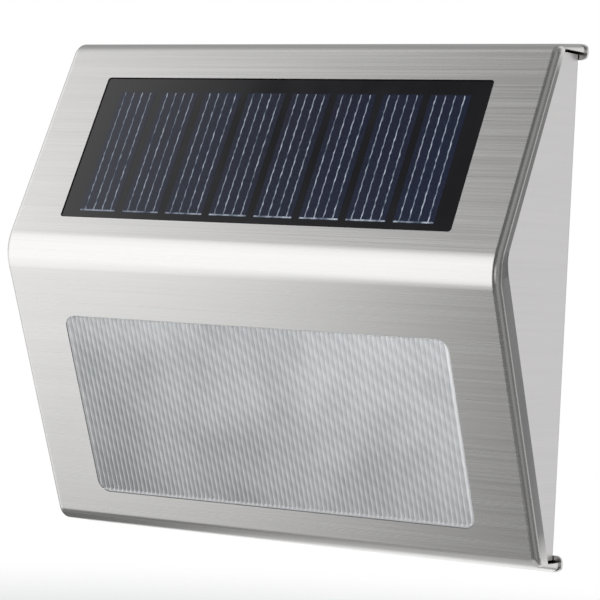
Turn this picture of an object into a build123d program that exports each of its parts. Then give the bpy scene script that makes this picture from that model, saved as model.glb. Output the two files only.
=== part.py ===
"""Solar fence light: a folded stainless front over a moulded body, with a flush solar panel above the
bend, a ribbed window below it and a flat back that hangs on two keyholes.

Millimetres. X runs across the front, Y points into the wall, Z points up. The wall is the plane y = 0
and the origin lies midway between the round entries of the two keyholes.
"""
import os
from math import radians, tan

from build123d import *

# ---- driving dimensions: the folded front ----
front_width = 120.0  # across the light, over the rolled side edges
front_height = 106.0  # foot fold to crown fold
keyhole_drop = 22.0  # keyhole entries below the crown fold
apex_height = 59.6  # the big bend above the foot fold
apex_reach = 36.0  # the big bend in front of the wall
crown_reach = 12.8  # crown fold in front of the wall
foot_reach = 10.4  # foot fold in front of the wall
crown_flare = 1.2  # the top flange climbs this much on its way to the wall
foot_flare = 1.4  # the bottom flange drops this much on its way to the wall
sheet = 0.7  # stainless sheet
apex_bend = 9.5  # outer radius of the big bend
fold_bend = 4.0  # outer radius of the crown and foot folds
roll_bend = 1.4  # outer radius of the rolled side edges
upper_hem = 2.7  # depth of the turned side edge along the upper slope
lower_hem = 4.2  # depth of the turned side edge along the lower slope
lip_height = 3.4  # lips that lie on the wall
lip_overhang = 0.4  # each lip end stands out past the rolled edge
lip_corner = 1.5  # rounding of the lip ends

# ---- driving dimensions: the folded rear casing ----
cheek_inset = 1.5  # cheeks stand back from the rolled edges
cheek_depth = 1.1  # cheek edges below the slopes
cheek_gap = 0.4  # cheek to moulded body
casing_bend = 1.3  # outer radius where the cheeks leave the back plate
lip_gap = 0.3  # back plate to the lips

# ---- driving dimensions: solar panel ----
panel_side_margin = 12.3  # opening to the side edges
panel_apex_margin = 8.3  # opening up the slope from the virtual apex
panel_crown_margin = 8.58  # opening down the slope from the crown fold
panel_corner = 0.7  # rounding of the panel opening
panel_sink = 0.25  # panel surface below the sheet's surface
panel_thickness = 1.8
panel_clearance = 0.2
cell_count = 8
cell_gap = 1.73
cell_border_side = 4.45  # black border beside the cells
cell_border_top = 3.5
cell_border_foot = 1.7
cell_thickness = 0.2
cell_proud = 0.03
finger_count = 4
finger_border = 1.35  # first finger from the cell's edge
finger_width = 0.25
bus_bar_height = 0.5
grid_thickness = 0.03
panel_seal_margin = 3.0
panel_seal_gap = 0.05
tab_length = 4.0
tab_width = 2.0
tab_thickness = 0.3
tab_drop = 7.8  # tabs below the panel's centre
tab_spacing = 6.0

# ---- driving dimensions: window ----
window_side_margin = 13.0  # window to the side edges
window_apex_margin = 15.1  # window down the slope from the virtual apex
window_foot_margin = 7.57  # window up the slope from the foot fold
window_corner = 2.8
lens_clearance = 0.2
lens_flange = 3.0  # flange past the window's edge
lens_flange_corner = 4.0
lens_flange_thickness = 1.4
lens_gasket_thickness = 0.6
lens_floor_sink = 0.8  # bottom of the grooves below the sheet's surface
rib_pitch = 1.1
rib_radius = 0.6
rib_sink = 1.0  # rib centres below the sheet's surface
rib_end_margin = 0.6

# ---- driving dimensions: light box ----
tray_side_margin = 1.0  # tray past the window's sides
tray_end_margin = 1.2  # tray past the window's top and foot
tray_top_depth = 14.5
tray_foot_depth = 5.6
tray_wall = 1.2
tray_gap = 0.3
led_count = 3
led_pitch = 24.0
led_depth = 8.8
led_rim_radius = 2.6
led_rim_height = 1.0
led_radius = 2.3
led_height = 4.6
led_hole_gap = 0.15
led_board_end = 7.0  # strip board past the outer lamps
led_board_height = 8.0
board_thickness = 1.2
tray_boss_radius = 2.2
tray_boss_height = 3.4

# ---- driving dimensions: moulded body ----
housing_wall = 1.8
rim_gap = 0.5  # body to the sheet flanges
nose_radius = 3.0
fit_gap = 0.1  # between parts screwed flat to each other
panel_port_margin = 2.7  # ledge under the panel
boss_radius = 3.6
screw_edge_distance = 6.3  # casing screws from the cheek's outer face
screw_end_distance = 5.9  # casing screws from the cheek's top and foot
cover_plate = 2.6
cover_gap = 0.15

# ---- driving dimensions: keyholes ----
keyhole_spacing = 72.0
keyhole_entry_radius = 4.0
keyhole_slot_width = 4.4
keyhole_travel = 8.0
well_margin = 1.0
well_depth = 4.0
well_wall = 1.2

# ---- driving dimensions: battery bay and door ----
bay_height = -16.0  # battery axis, measured from the keyhole entries
cell_can_radius = 5.2
cell_can_length = 43.7
cap_radius = 1.9
cap_length = 0.8
bay_play = 0.45
bay_wall = 1.3
cell_rear_gap = 0.4  # cell to the floor of the door's recess
contact_thickness = 0.4
contact_size = 9.0
contact_tab_width = 2.5
contact_tab_reach = 1.3
spring_wire = 0.6
spring_radius = 2.6
spring_turns = 4
spring_length = 4.95  # between the middles of its end wires
spring_play = 0.05
door_sink = 0.65
door_thickness = 1.4
door_margin_side = 2.0
door_margin_latch = 1.95
hinge_margin = 2.95  # hinge axis above the bay
hinge_depth = 1.45
hinge_pin_radius = 0.6
hinge_pin_length = 1.2
hinge_running_gap = 0.05
door_gap = 0.3
door_finger_radius = 5.0
door_rib_count = 4
door_rib_pitch = 1.6
door_rib_length = 12.0
door_rib_height = 0.3
seal_thickness = 0.6
seal_width = 1.5

# ---- driving dimensions: control board and switch ----
control_width = 55.0
control_height = 20.0
control_gap = 4.05  # board above the battery bay
standoff_height = 4.8
standoff_edge = 5.5  # standoffs from the board's ends
standoff_radius = 2.2
chip_length = 4.9
chip_width = 3.9
chip_height = 1.5
chip_leg_width = 0.45
chip_leg_reach = 1.0
chip_leg_pitch = 1.27
chip_offset = (0.0, 3.0)  # from the board's centre
drum_radius = 3.2
drum_waist = 2.5
drum_height = 4.5
drum_flange = 0.8
drum_offset = (12.0, -5.0)
capacitor_radius = 2.5
capacitor_height = 5.4
capacitor_offset = (-11.0, -5.0)
switch_offset = (12.0, 4.0)
switch_length = 8.6
switch_width = 3.8
switch_height = 3.8
switch_travel = 2.0
knob_length = 2.0
knob_width = 1.4
knob_recess = 0.5
knob_foot_length = 2.8
knob_foot_height = 2.0
knob_slide_gap = 0.1
switch_pin_radius = 0.35
switch_pin_pitch = 2.5
switch_pin_length = 2.4

# ---- driving dimensions: fasteners and wire ----
casing_screw_head_radius = 2.75
casing_screw_radius = 1.2
casing_screw_length = 5.8
board_screw_head_radius = 1.9
board_screw_head_height = 1.3
board_screw_radius = 0.95
board_screw_length = 4.4
hole_clearance = 0.15
pilot_clearance = 0.05
recess_width = 0.5
recess_depth = 0.8
wire_radius = 0.6
wire_pair_gap = 2.5
arc_share = 0.45
pad_margin = 2.5
pad_reach = 5.1
panel_wire_reach = 5.5
led_wire_x = 19.0
led_wire_reach = 9.0
battery_wire_reach = 3.6
battery_wire_clear = 2.0

# ---- the wedge: two slopes that meet at the virtual apex ----
crown_z = keyhole_drop
foot_z = crown_z - front_height
apex_z = foot_z + apex_height
half_width = front_width / 2
apex = Vector(0, -apex_reach, apex_z)
upper_slope = Vector(0, apex_reach - crown_reach, crown_z - apex_z)
lower_slope = Vector(0, apex_reach - foot_reach, foot_z - apex_z)
upper_run = upper_slope.normalized()
lower_run = lower_slope.normalized()
upper_in = Vector(0, upper_run.Z, -upper_run.Y)
lower_in = Vector(0, -lower_run.Z, lower_run.Y)
upper_side = Plane(origin=apex, x_dir=upper_run, z_dir=(-1, 0, 0))  # (along, depth) on the slope
lower_side = Plane(origin=apex, x_dir=lower_run, z_dir=(1, 0, 0))


def upper_face(along, depth=0.0):
    """Plane parallel to the upper slope, sunk by depth; its y axis climbs the slope."""
    return Plane(origin=apex + upper_run * along + upper_in * depth, x_dir=(1, 0, 0), z_dir=-upper_in)


def lower_face(along, depth=0.0):
    """Plane parallel to the lower slope, sunk by depth; its y axis climbs the slope."""
    return Plane(origin=apex + lower_run * along + lower_in * depth, x_dir=(1, 0, 0), z_dir=-lower_in)


def lower_cross(along, depth=0.0):
    """Plane square to the lower slope that looks down it; its y axis points out of the front."""
    origin = apex + lower_run * along + lower_in * depth
    return Plane(origin=origin, x_dir=(1, 0, 0), z_dir=lower_run)


def rear_plane(depth):
    """Plane parallel to the wall, depth in front of it, that looks away from the wall."""
    return Plane.XZ.offset(depth)


def upper_y(z, depth):
    return apex.Y + (depth - (z - apex_z) * upper_in.Z) / upper_in.Y


def lower_y(z, depth):
    return apex.Y + (depth - (z - apex_z) * lower_in.Z) / lower_in.Y


def wedge(upper_depth, lower_depth, rear_depth, top, bottom):
    """Side outline (y, z) of the wedge, inset from both slopes and cut at the rear, top and bottom."""
    cross = upper_in.Y * lower_in.Z - upper_in.Z * lower_in.Y
    nose_y = apex.Y + (upper_depth * lower_in.Z - lower_depth * upper_in.Z) / cross
    nose_z = apex_z + (lower_depth * upper_in.Y - upper_depth * lower_in.Y) / cross
    return [
        (-rear_depth, top),
        (upper_y(top, upper_depth), top),
        (nose_y, nose_z),
        (lower_y(bottom, lower_depth), bottom),
        (-rear_depth, bottom),
    ]


def wedge_sketch(upper_depth, lower_depth, rear_depth, top, bottom, nose=0.0, fold=0.0):
    """Face of the wedge outline, with its nose and folds rounded; drawn in the plane x = 0."""
    points = wedge(upper_depth, lower_depth, rear_depth, top, bottom)
    with BuildLine() as outline:
        FilletPolyline(*points, radius=(0, fold, nose, fold, 0), close=True)
    make_face(outline.edges())


panel_opening_width = front_width - 2 * panel_side_margin
panel_opening_height = upper_slope.length - panel_apex_margin - panel_crown_margin
panel_along = panel_apex_margin + panel_opening_height / 2
window_width = front_width - 2 * window_side_margin
window_height = lower_slope.length - window_apex_margin - window_foot_margin
window_along = window_apex_margin + window_height / 2

# ---- front_cover: one sheet folded over the apex, rolled at the sides, with lips on the wall ----
lip_top_z = crown_z + crown_flare
lip_foot_z = foot_z - foot_flare


def cover_form(skin):
    """The space that the folded sheet wraps, inset by skin from its outer faces."""
    with BuildPart() as form:
        with BuildSketch(Plane.YZ):
            with BuildLine():
                FilletPolyline(
                    (sheet, lip_top_z + crown_flare * sheet / crown_reach),
                    (-crown_reach, crown_z),
                    (-apex_reach, apex_z),
                    (-foot_reach, foot_z),
                    (sheet, lip_foot_z - foot_flare * sheet / foot_reach),
                    radius=(0, fold_bend, apex_bend, fold_bend, 0),
                    close=True,
                )
            make_face()
            if skin:
                offset(amount=-skin, kind=Kind.INTERSECTION)
        extrude(amount=half_width - skin, both=True)
        side_edges = form.edges().filter_by(lambda e: abs(abs(e.center().X) - half_width + skin) < 1e-4)
        rear = max(e.center().Y for e in side_edges)
        fillet([e for e in side_edges if e.center().Y < rear - 1e-4], roll_bend - skin)
        split(bisect_by=Plane.XZ, keep=Keep.TOP)
    return form.part


with BuildPart() as front_cover:
    add(cover_form(0))
    add(cover_form(sheet), mode=Mode.SUBTRACT)
    with BuildSketch(Plane.YZ):
        wedge_sketch(upper_hem, lower_hem, -sheet, crown_z - sheet, foot_z + sheet, apex_bend - upper_hem)
    extrude(amount=front_width, both=True, mode=Mode.SUBTRACT)
    for lip_z, way in ((lip_top_z, -1), (lip_foot_z, 1)):
        with BuildSketch(rear_plane(0)):
            with Locations((0, lip_z + way * lip_height / 2)):
                RectangleRounded(front_width + 2 * lip_overhang, lip_height, lip_corner)
        extrude(amount=sheet)
    with BuildSketch(lower_face(window_along)):
        RectangleRounded(window_width, window_height, window_corner)
    extrude(amount=2 * sheet, both=True, mode=Mode.SUBTRACT)
    with BuildSketch(upper_face(panel_along)):
        RectangleRounded(panel_opening_width, panel_opening_height, panel_corner)
    extrude(amount=2 * sheet, both=True, mode=Mode.SUBTRACT)

# ---- solar panel: board, cells, grid lines, solder tabs and the foam seal around it ----
panel_width = panel_opening_width - 2 * panel_clearance
panel_height = panel_opening_height - 2 * panel_clearance
panel_back = panel_sink + panel_thickness
cells_width = panel_opening_width - 2 * cell_border_side
cell_width = (cells_width - (cell_count - 1) * cell_gap) / cell_count
cell_height = panel_opening_height - cell_border_top - cell_border_foot
cell_pitch = cell_width + cell_gap
cell_drop = (cell_border_top - cell_border_foot) / 2
finger_pitch = (cell_width - 2 * finger_border) / (finger_count - 1)

with BuildPart() as panel_board:
    with BuildSketch(upper_face(panel_along, panel_sink)):
        RectangleRounded(panel_width, panel_height, panel_corner - panel_clearance)
    extrude(amount=-panel_thickness)
    with BuildSketch(upper_face(panel_along, panel_sink)):
        with Locations((0, -cell_drop)):
            with GridLocations(cell_pitch, 0, cell_count, 1):
                Rectangle(cell_width, cell_height)
    extrude(amount=cell_proud - cell_thickness, mode=Mode.SUBTRACT)

with BuildPart() as solar_cells:
    with BuildSketch(upper_face(panel_along, panel_sink - cell_proud)):
        with Locations((0, -cell_drop)):
            with GridLocations(cell_pitch, 0, cell_count, 1):
                Rectangle(cell_width, cell_height)
    extrude(amount=-cell_thickness)

with BuildPart() as cell_grid_lines:
    with BuildSketch(upper_face(panel_along, panel_sink - cell_proud)):
        with Locations((0, -cell_drop)):
            with GridLocations(cell_pitch, 0, cell_count, 1):
                with GridLocations(finger_pitch, 0, finger_count, 1):
                    Rectangle(finger_width, cell_height)
                with Locations((0, (bus_bar_height - cell_height) / 2)):
                    Rectangle(cell_width, bus_bar_height)
    extrude(amount=grid_thickness)

with BuildPart() as panel_tabs:
    with BuildSketch(upper_face(panel_along - tab_drop, panel_back)):
        with GridLocations(tab_spacing, 0, 2, 1):
            Rectangle(tab_width, tab_length)
    extrude(amount=-tab_thickness)

with BuildPart() as panel_seal:
    with BuildSketch(upper_face(panel_along, sheet)):
        Rectangle(panel_opening_width + 2 * panel_seal_margin, panel_opening_height + 2 * panel_seal_margin)
        Rectangle(panel_width + 2 * panel_seal_gap, panel_height + 2 * panel_seal_gap, mode=Mode.SUBTRACT)
    extrude(amount=sheet - panel_back)

# ---- window: ribbed lens on a flat flange, and its foam gasket ----
lens_front = sheet + lens_gasket_thickness
lens_back = lens_front + lens_flange_thickness
lens_width = window_width - 2 * lens_clearance
lens_height = window_height - 2 * lens_clearance
rib_count = int((lens_width - 2 * rib_end_margin) / rib_pitch)

with BuildPart() as window_lens:
    with BuildSketch(lower_cross(window_along - lens_height / 2)):
        with Locations((0, -(lens_floor_sink + lens_front) / 2)):
            Rectangle(lens_width, lens_front - lens_floor_sink)
        with Locations((0, -rib_sink)):
            with GridLocations(rib_pitch, 0, rib_count, 1):
                Circle(rib_radius)
    extrude(amount=lens_height)
    with BuildSketch(lower_face(window_along)):
        RectangleRounded(lens_width, lens_height, window_corner - lens_clearance)
    extrude(amount=-lens_back, mode=Mode.INTERSECT)
    with BuildSketch(lower_face(window_along, lens_front)):
        RectangleRounded(window_width + 2 * lens_flange, window_height + 2 * lens_flange, lens_flange_corner)
    extrude(amount=-lens_flange_thickness)

with BuildPart() as lens_gasket:
    with BuildSketch(lower_face(window_along, sheet)):
        RectangleRounded(window_width + 2 * lens_flange, window_height + 2 * lens_flange, lens_flange_corner)
        RectangleRounded(window_width, window_height, window_corner, mode=Mode.SUBTRACT)
    extrude(amount=-lens_gasket_thickness)

# ---- places that the casing, the body and its cover share ----
casing_half = half_width - cheek_inset
casing_top = crown_z - sheet - cheek_gap
casing_foot = foot_z + sheet + cheek_gap
screw_x = casing_half - screw_edge_distance
screw_rows = (casing_foot + screw_end_distance, casing_top - screw_end_distance)
screw_spots = [(x, z) for x in (-screw_x, screw_x) for z in screw_rows]
keyhole_spots = [(-keyhole_spacing / 2, 0), (keyhole_spacing / 2, 0)]
cover_rear = sheet + fit_gap
cover_front = cover_rear + cover_plate
housing_half = casing_half - sheet - cheek_gap
housing_top = crown_z - sheet - rim_gap
housing_foot = foot_z + sheet + rim_gap
cell_length = cap_length + cell_can_length
bay_length = cell_length + spring_length + spring_wire + 2 * contact_thickness + 3 * spring_play
bay_half_length = bay_length / 2
bay_half_height = cell_can_radius + bay_play
hinge_z = bay_height + bay_half_height + hinge_margin
door_half_width = bay_half_length + door_margin_side
door_foot_z = bay_height - bay_half_height - door_margin_latch
door_lobe = hinge_depth - door_sink
door_front = door_sink + door_thickness
door_top_z = hinge_z + door_lobe
recess_height = door_top_z - door_foot_z + 2 * door_gap
recess_centre = (door_top_z + door_foot_z) / 2
recess_floor = door_front + seal_thickness + spring_play
cell_axis_depth = recess_floor + cell_rear_gap + cell_can_radius
bay_floor = cell_axis_depth + cell_can_radius + bay_play
bay_front = bay_floor + bay_wall
control_depth = cover_front + standoff_height
control_centre = bay_height + bay_half_height + bay_wall + control_gap + control_height / 2
switch_x, switch_z = switch_offset[0], control_centre + switch_offset[1]
slot_length = knob_length + switch_travel + 2 * door_gap
slot_width = knob_width + 2 * door_gap
wall_out = Plane(origin=(0, 0, 0), x_dir=(-1, 0, 0), z_dir=(0, 1, 0))  # the wall, seen from inside it


def keyhole_sketch(margin):
    """Two keyholes: a round entry below and a narrow slot above, grown by margin."""
    with Locations(*keyhole_spots):
        Circle(keyhole_entry_radius + margin)
    with Locations(*[(x, z + keyhole_travel / 2) for x, z in keyhole_spots]):
        Rectangle(keyhole_slot_width + 2 * margin, keyhole_travel)
    with Locations(*[(x, z + keyhole_travel) for x, z in keyhole_spots]):
        Circle(keyhole_slot_width / 2 + margin)


def slot_sketch():
    """The switch's slot."""
    with Locations((switch_x, switch_z)):
        Rectangle(slot_length, slot_width)


def recess_sketch():
    """The battery door's opening."""
    with Locations((0, recess_centre)):
        Rectangle(2 * (door_half_width + door_gap), recess_height)


def countersinks():
    """Countersunk holes for the four casing screws, from the wall plane inwards."""
    with Locations(wall_out):
        with Locations(*screw_spots):
            CounterSinkHole(
                radius=casing_screw_radius + hole_clearance,
                counter_sink_radius=casing_screw_head_radius + hole_clearance,
                depth=casing_screw_length,
                counter_sink_angle=90,
            )


# ---- rear_casing: back plate and two cheeks from one sheet ----
with BuildPart() as casing_room:
    with BuildSketch(rear_plane(sheet)):
        with Locations((0, (casing_top + casing_foot) / 2)):
            Rectangle(2 * (casing_half - sheet), 2 * front_height)
    extrude(amount=2 * apex_reach)
    fillet(casing_room.edges().filter_by(Axis.Z).group_by(Axis.Y)[-1], casing_bend - sheet)

with BuildPart() as rear_casing:
    with BuildSketch(Plane.YZ):
        wedge_sketch(
            cheek_depth, cheek_depth, 0, casing_top, casing_foot, apex_bend - cheek_depth, fold_bend - cheek_depth
        )
    extrude(amount=casing_half, both=True)
    fillet(rear_casing.edges().filter_by(Axis.Z).group_by(Axis.Y)[-1], casing_bend)
    add(casing_room.part, mode=Mode.SUBTRACT)
    for lip_z in (lip_top_z, lip_foot_z):
        with BuildSketch(rear_plane(-sheet)):
            with Locations((0, lip_z)):
                Rectangle(2 * front_width, 2 * (lip_height + lip_gap))
        extrude(amount=2 * sheet + lip_gap, mode=Mode.SUBTRACT)
    with BuildSketch(rear_plane(-sheet)):
        keyhole_sketch(0)
        slot_sketch()
        recess_sketch()
    extrude(amount=3 * sheet, mode=Mode.SUBTRACT)
    countersinks()

# ---- inner_housing: moulded body, open at the rear, with a port in each slope and four bosses ----
tray_width = window_width + 2 * tray_side_margin
tray_height = window_height + 2 * tray_end_margin

with BuildPart() as housing_room:
    with BuildSketch(Plane.YZ):
        wedge_sketch(
            panel_back + housing_wall,
            lens_back + housing_wall,
            -sheet,
            housing_top - housing_wall,
            housing_foot + housing_wall,
            nose_radius,
        )
    extrude(amount=housing_half - housing_wall, both=True)
    with BuildSketch(rear_plane(cover_front + fit_gap)):
        with Locations(*screw_spots):
            Circle(boss_radius)
    extrude(amount=apex_reach, mode=Mode.SUBTRACT)

with BuildPart() as inner_housing:
    with BuildSketch(Plane.YZ):
        wedge_sketch(panel_back, lens_back, cover_rear, housing_top, housing_foot, nose_radius)
    extrude(amount=housing_half, both=True)
    add(housing_room.part, mode=Mode.SUBTRACT)
    with BuildSketch(upper_face(panel_along, panel_back)):
        Rectangle(panel_width - 2 * panel_port_margin, panel_height - 2 * panel_port_margin)
    extrude(amount=2 * housing_wall, both=True, mode=Mode.SUBTRACT)
    with BuildSketch(lower_face(window_along, lens_back)):
        Rectangle(tray_width + 2 * tray_gap, tray_height + 2 * tray_gap)
    extrude(amount=2 * housing_wall, both=True, mode=Mode.SUBTRACT)
    with BuildSketch(rear_plane(0)):
        with Locations(*screw_spots):
            Circle(casing_screw_radius + pilot_clearance)
    extrude(amount=casing_screw_length + casing_screw_radius + hole_clearance, mode=Mode.SUBTRACT)

# ---- back_cover: plate with the battery bay, the keyhole wells and the board's standoffs ----
plate_half = housing_half - housing_wall - cover_gap
plate_top = housing_top - housing_wall - cover_gap
plate_foot = housing_foot + housing_wall + cover_gap
standoff_x = control_width / 2 - standoff_edge
standoff_spots = [(-standoff_x, control_centre), (standoff_x, control_centre)]

with BuildPart() as back_cover:
    with BuildSketch(rear_plane(cover_rear)):
        with Locations((0, (plate_top + plate_foot) / 2)):
            Rectangle(2 * plate_half, plate_top - plate_foot)
    extrude(amount=cover_plate)
    with BuildSketch(rear_plane(cover_rear)):
        keyhole_sketch(well_margin + well_wall)
    extrude(amount=cover_plate + well_depth + well_wall)
    with BuildSketch(rear_plane(cover_rear)):
        with Locations((0, bay_height)):
            Rectangle(bay_length + 2 * bay_wall, 2 * (bay_half_height + bay_wall))
    extrude(amount=bay_front - cover_rear)
    with BuildSketch(rear_plane(cover_rear)):
        with Locations(*standoff_spots):
            Circle(standoff_radius)
    extrude(amount=control_depth - cover_rear)
    with BuildSketch(rear_plane(0)):
        keyhole_sketch(well_margin)
    extrude(amount=cover_front + well_depth, mode=Mode.SUBTRACT)
    with BuildSketch(rear_plane(0)):
        with Locations((0, bay_height)):
            Rectangle(bay_length, 2 * bay_half_height)
    extrude(amount=bay_floor, mode=Mode.SUBTRACT)
    with BuildSketch(rear_plane(0)):
        recess_sketch()
    extrude(amount=recess_floor, mode=Mode.SUBTRACT)
    with BuildSketch(rear_plane(0)):
        slot_sketch()
    extrude(amount=2 * cover_front, mode=Mode.SUBTRACT)
    with BuildSketch(Plane.YZ):
        with Locations((-hinge_depth, hinge_z)):
            Circle(hinge_pin_radius + hinge_running_gap)
        with Locations((-hinge_depth / 2, hinge_z)):
            Rectangle(hinge_depth, 2 * (hinge_pin_radius + hinge_running_gap))
    extrude(amount=door_half_width + door_gap + hinge_pin_length, both=True, mode=Mode.SUBTRACT)
    with BuildSketch(rear_plane(control_depth)):
        with Locations(*standoff_spots):
            Circle(board_screw_radius + pilot_clearance)
    extrude(amount=-board_screw_length, mode=Mode.SUBTRACT)
    with BuildSketch(rear_plane(bay_floor - bay_wall)):
        with Locations(
            (-bay_half_length + contact_thickness / 2, bay_height),
            (bay_half_length - contact_thickness / 2, bay_height),
        ):
            Rectangle(contact_thickness + 2 * fit_gap, contact_tab_width + 2 * fit_gap)
    extrude(amount=3 * bay_wall, mode=Mode.SUBTRACT)
    countersinks()

# ---- battery door: swings on two pins at its top edge, with a foam seal behind it ----
with BuildPart() as battery_door:
    with BuildSketch(Plane.YZ):
        with BuildLine():
            rear_side = Line((-door_sink, door_foot_z), (-door_sink, hinge_z))
            rear_lobe = RadiusArc(rear_side @ 1, (-hinge_depth, hinge_z + door_lobe), -door_lobe)
            step = Line(rear_lobe @ 1, (-hinge_depth, hinge_z + door_front - hinge_depth))
            front_lobe = RadiusArc(step @ 1, (-door_front, hinge_z), hinge_depth - door_front)
            Polyline(front_lobe @ 1, (-door_front, door_foot_z), rear_side @ 0)
        make_face()
    extrude(amount=door_half_width, both=True)
    with BuildSketch(Plane.YZ):
        with Locations((-hinge_depth, hinge_z)):
            Circle(hinge_pin_radius)
    extrude(amount=door_half_width + hinge_pin_length, both=True)
    with BuildSketch(rear_plane(door_sink)):
        with Locations((0, door_foot_z + door_finger_radius)):
            with GridLocations(0, door_rib_pitch, 1, door_rib_count):
                Rectangle(door_rib_length, door_rib_pitch / 2)
    extrude(amount=-door_rib_height)

with BuildPart() as door_seal:
    with BuildSketch(rear_plane(recess_floor - seal_thickness)):
        with Locations((0, bay_height)):
            Rectangle(bay_length + 2 * seal_width, 2 * (bay_half_height + seal_width))
            Rectangle(bay_length, 2 * bay_half_height, mode=Mode.SUBTRACT)
    extrude(amount=seal_thickness)

# ---- battery: can, cap, contact plates and coil spring, all on one axis ----
cap_start = -bay_half_length + contact_thickness + spring_play
can_start = cap_start + cap_length
can_end = can_start + cell_can_length
cell_centre = (-cell_axis_depth, bay_height)

with BuildPart() as battery_cell:
    with BuildSketch(Plane.YZ.offset(can_start)):
        with Locations(cell_centre):
            Circle(cell_can_radius)
    extrude(amount=cell_can_length)
    fillet(battery_cell.edges().filter_by(GeomType.CIRCLE), cell_can_radius / 10)

with BuildPart() as battery_cap:
    with BuildSketch(Plane.YZ.offset(cap_start)):
        with Locations(cell_centre):
            Circle(cap_radius)
    extrude(amount=cap_length)
    fillet(battery_cap.edges().group_by(Axis.X)[0], cap_length / 4)


def contact(start):
    """Contact plate from x = start, with a tab that reaches through the bay's floor."""
    tab_end = bay_front + contact_tab_reach
    with BuildPart() as plate:
        with BuildSketch(Plane.YZ.offset(start)):
            with Locations(cell_centre):
                Rectangle(contact_size, contact_size)
            with Locations((-(cell_axis_depth + tab_end) / 2, bay_height)):
                Rectangle(tab_end - cell_axis_depth, contact_tab_width)
        extrude(amount=contact_thickness)
    return plate.part


with BuildPart() as contact_plate:
    add(contact(-bay_half_length))

with BuildPart() as spring_plate:
    add(contact(bay_half_length - contact_thickness))

spring_start = can_end + spring_play + spring_wire / 2

with BuildPart() as contact_spring:
    with BuildLine() as coil:
        Helix(
            pitch=spring_length / spring_turns,
            height=spring_length,
            radius=spring_radius,
            center=(spring_start, -cell_axis_depth, bay_height),
            direction=(1, 0, 0),
        )
    with BuildSketch(Plane(origin=coil.line @ 0, z_dir=coil.line % 0)):
        Circle(spring_wire / 2)
    sweep(is_frenet=True)

# ---- reflector_tray: white tray behind the window, with lamp holes in its top wall ----
tray_top = window_along - tray_height / 2
tray_foot = window_along + tray_height / 2
led_row = (0, -led_depth)

with BuildPart() as reflector_tray:
    with BuildSketch(lower_side):
        with BuildLine():
            Polyline(
                (tray_top, lens_back),
                (tray_foot, lens_back),
                (tray_foot, tray_foot_depth),
                (tray_top, tray_top_depth),
                close=True,
            )
        make_face()
    extrude(amount=tray_width / 2, both=True)
    with BuildSketch(lower_side):
        with BuildLine():
            Polyline(
                (tray_top + tray_wall, 0),
                (tray_foot - tray_wall, 0),
                (tray_foot - tray_wall, tray_foot_depth - tray_wall),
                (tray_top + tray_wall, tray_top_depth - tray_wall),
                close=True,
            )
        make_face()
    extrude(amount=tray_width / 2 - tray_wall, both=True, mode=Mode.SUBTRACT)
    with BuildSketch(lower_cross(tray_top)):
        with Locations(led_row):
            with GridLocations(led_pitch, 0, led_count - 1, 1):
                Circle(tray_boss_radius)
    extrude(amount=tray_wall + tray_boss_height)
    with BuildSketch(lower_cross(tray_top)):
        with Locations(led_row):
            with GridLocations(led_pitch, 0, led_count, 1):
                Circle(led_rim_radius + led_hole_gap)
    extrude(amount=2 * tray_wall, mode=Mode.SUBTRACT)
    with BuildSketch(lower_cross(tray_top)):
        with Locations(led_row):
            with GridLocations(led_pitch, 0, led_count - 1, 1):
                Circle(board_screw_radius + pilot_clearance)
    extrude(amount=board_screw_length - board_thickness + hole_clearance, mode=Mode.SUBTRACT)

# ---- lamps on their strip board ----
with BuildPart() as led_board:
    with BuildSketch(lower_cross(tray_top - board_thickness)):
        with Locations(led_row):
            Rectangle((led_count - 1) * led_pitch + 2 * led_board_end, led_board_height)
            with GridLocations(led_pitch, 0, led_count - 1, 1):
                Circle(board_screw_radius + hole_clearance, mode=Mode.SUBTRACT)
    extrude(amount=board_thickness)

with BuildPart() as lamp:
    Cylinder(led_rim_radius, led_rim_height, align=(Align.CENTER, Align.CENTER, Align.MIN))
    Cylinder(led_radius, led_height, align=(Align.CENTER, Align.CENTER, Align.MIN))
    fillet(lamp.edges().group_by(Axis.Z)[-1], led_radius * 0.9)

with BuildPart() as leds:
    with Locations(lower_cross(tray_top)):
        with Locations(led_row):
            with GridLocations(led_pitch, 0, led_count, 1):
                add(lamp.part)

# ---- control board with its chip, drum inductor, capacitor and slide switch ----
control_front = control_depth + board_thickness
pin_spots = [(switch_x + i * switch_pin_pitch, switch_z) for i in (-1, 0, 1)]
chip_place, drum_place, capacitor_place = [
    (x, control_centre + z) for x, z in (chip_offset, drum_offset, capacitor_offset)
]

with BuildPart() as control_board:
    with BuildSketch(rear_plane(control_depth)):
        with Locations((0, control_centre)):
            Rectangle(control_width, control_height)
        with Locations(*standoff_spots):
            Circle(board_screw_radius + hole_clearance, mode=Mode.SUBTRACT)
        with Locations(*pin_spots):
            Circle(switch_pin_radius + hole_clearance, mode=Mode.SUBTRACT)
    extrude(amount=board_thickness)

with BuildPart() as driver_chip:
    with BuildSketch(rear_plane(control_front)):
        with Locations(chip_place):
            Rectangle(chip_length, chip_width)
            with GridLocations(chip_leg_pitch, 0, 4, 1):
                Rectangle(chip_leg_width, chip_width + 2 * chip_leg_reach)
    extrude(amount=chip_height / 4)
    with BuildSketch(rear_plane(control_front + chip_height / 4)):
        with Locations(chip_place):
            Rectangle(chip_length, chip_width)
    extrude(amount=chip_height * 3 / 4)

with BuildPart() as inductor:
    with BuildSketch(rear_plane(control_front)):
        with Locations(drum_place):
            Circle(drum_radius)
    extrude(amount=drum_flange)
    with BuildSketch(rear_plane(control_front + drum_flange)):
        with Locations(drum_place):
            Circle(drum_waist)
    extrude(amount=drum_height - 2 * drum_flange)
    with BuildSketch(rear_plane(control_front + drum_height - drum_flange)):
        with Locations(drum_place):
            Circle(drum_radius)
    extrude(amount=drum_flange)

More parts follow.
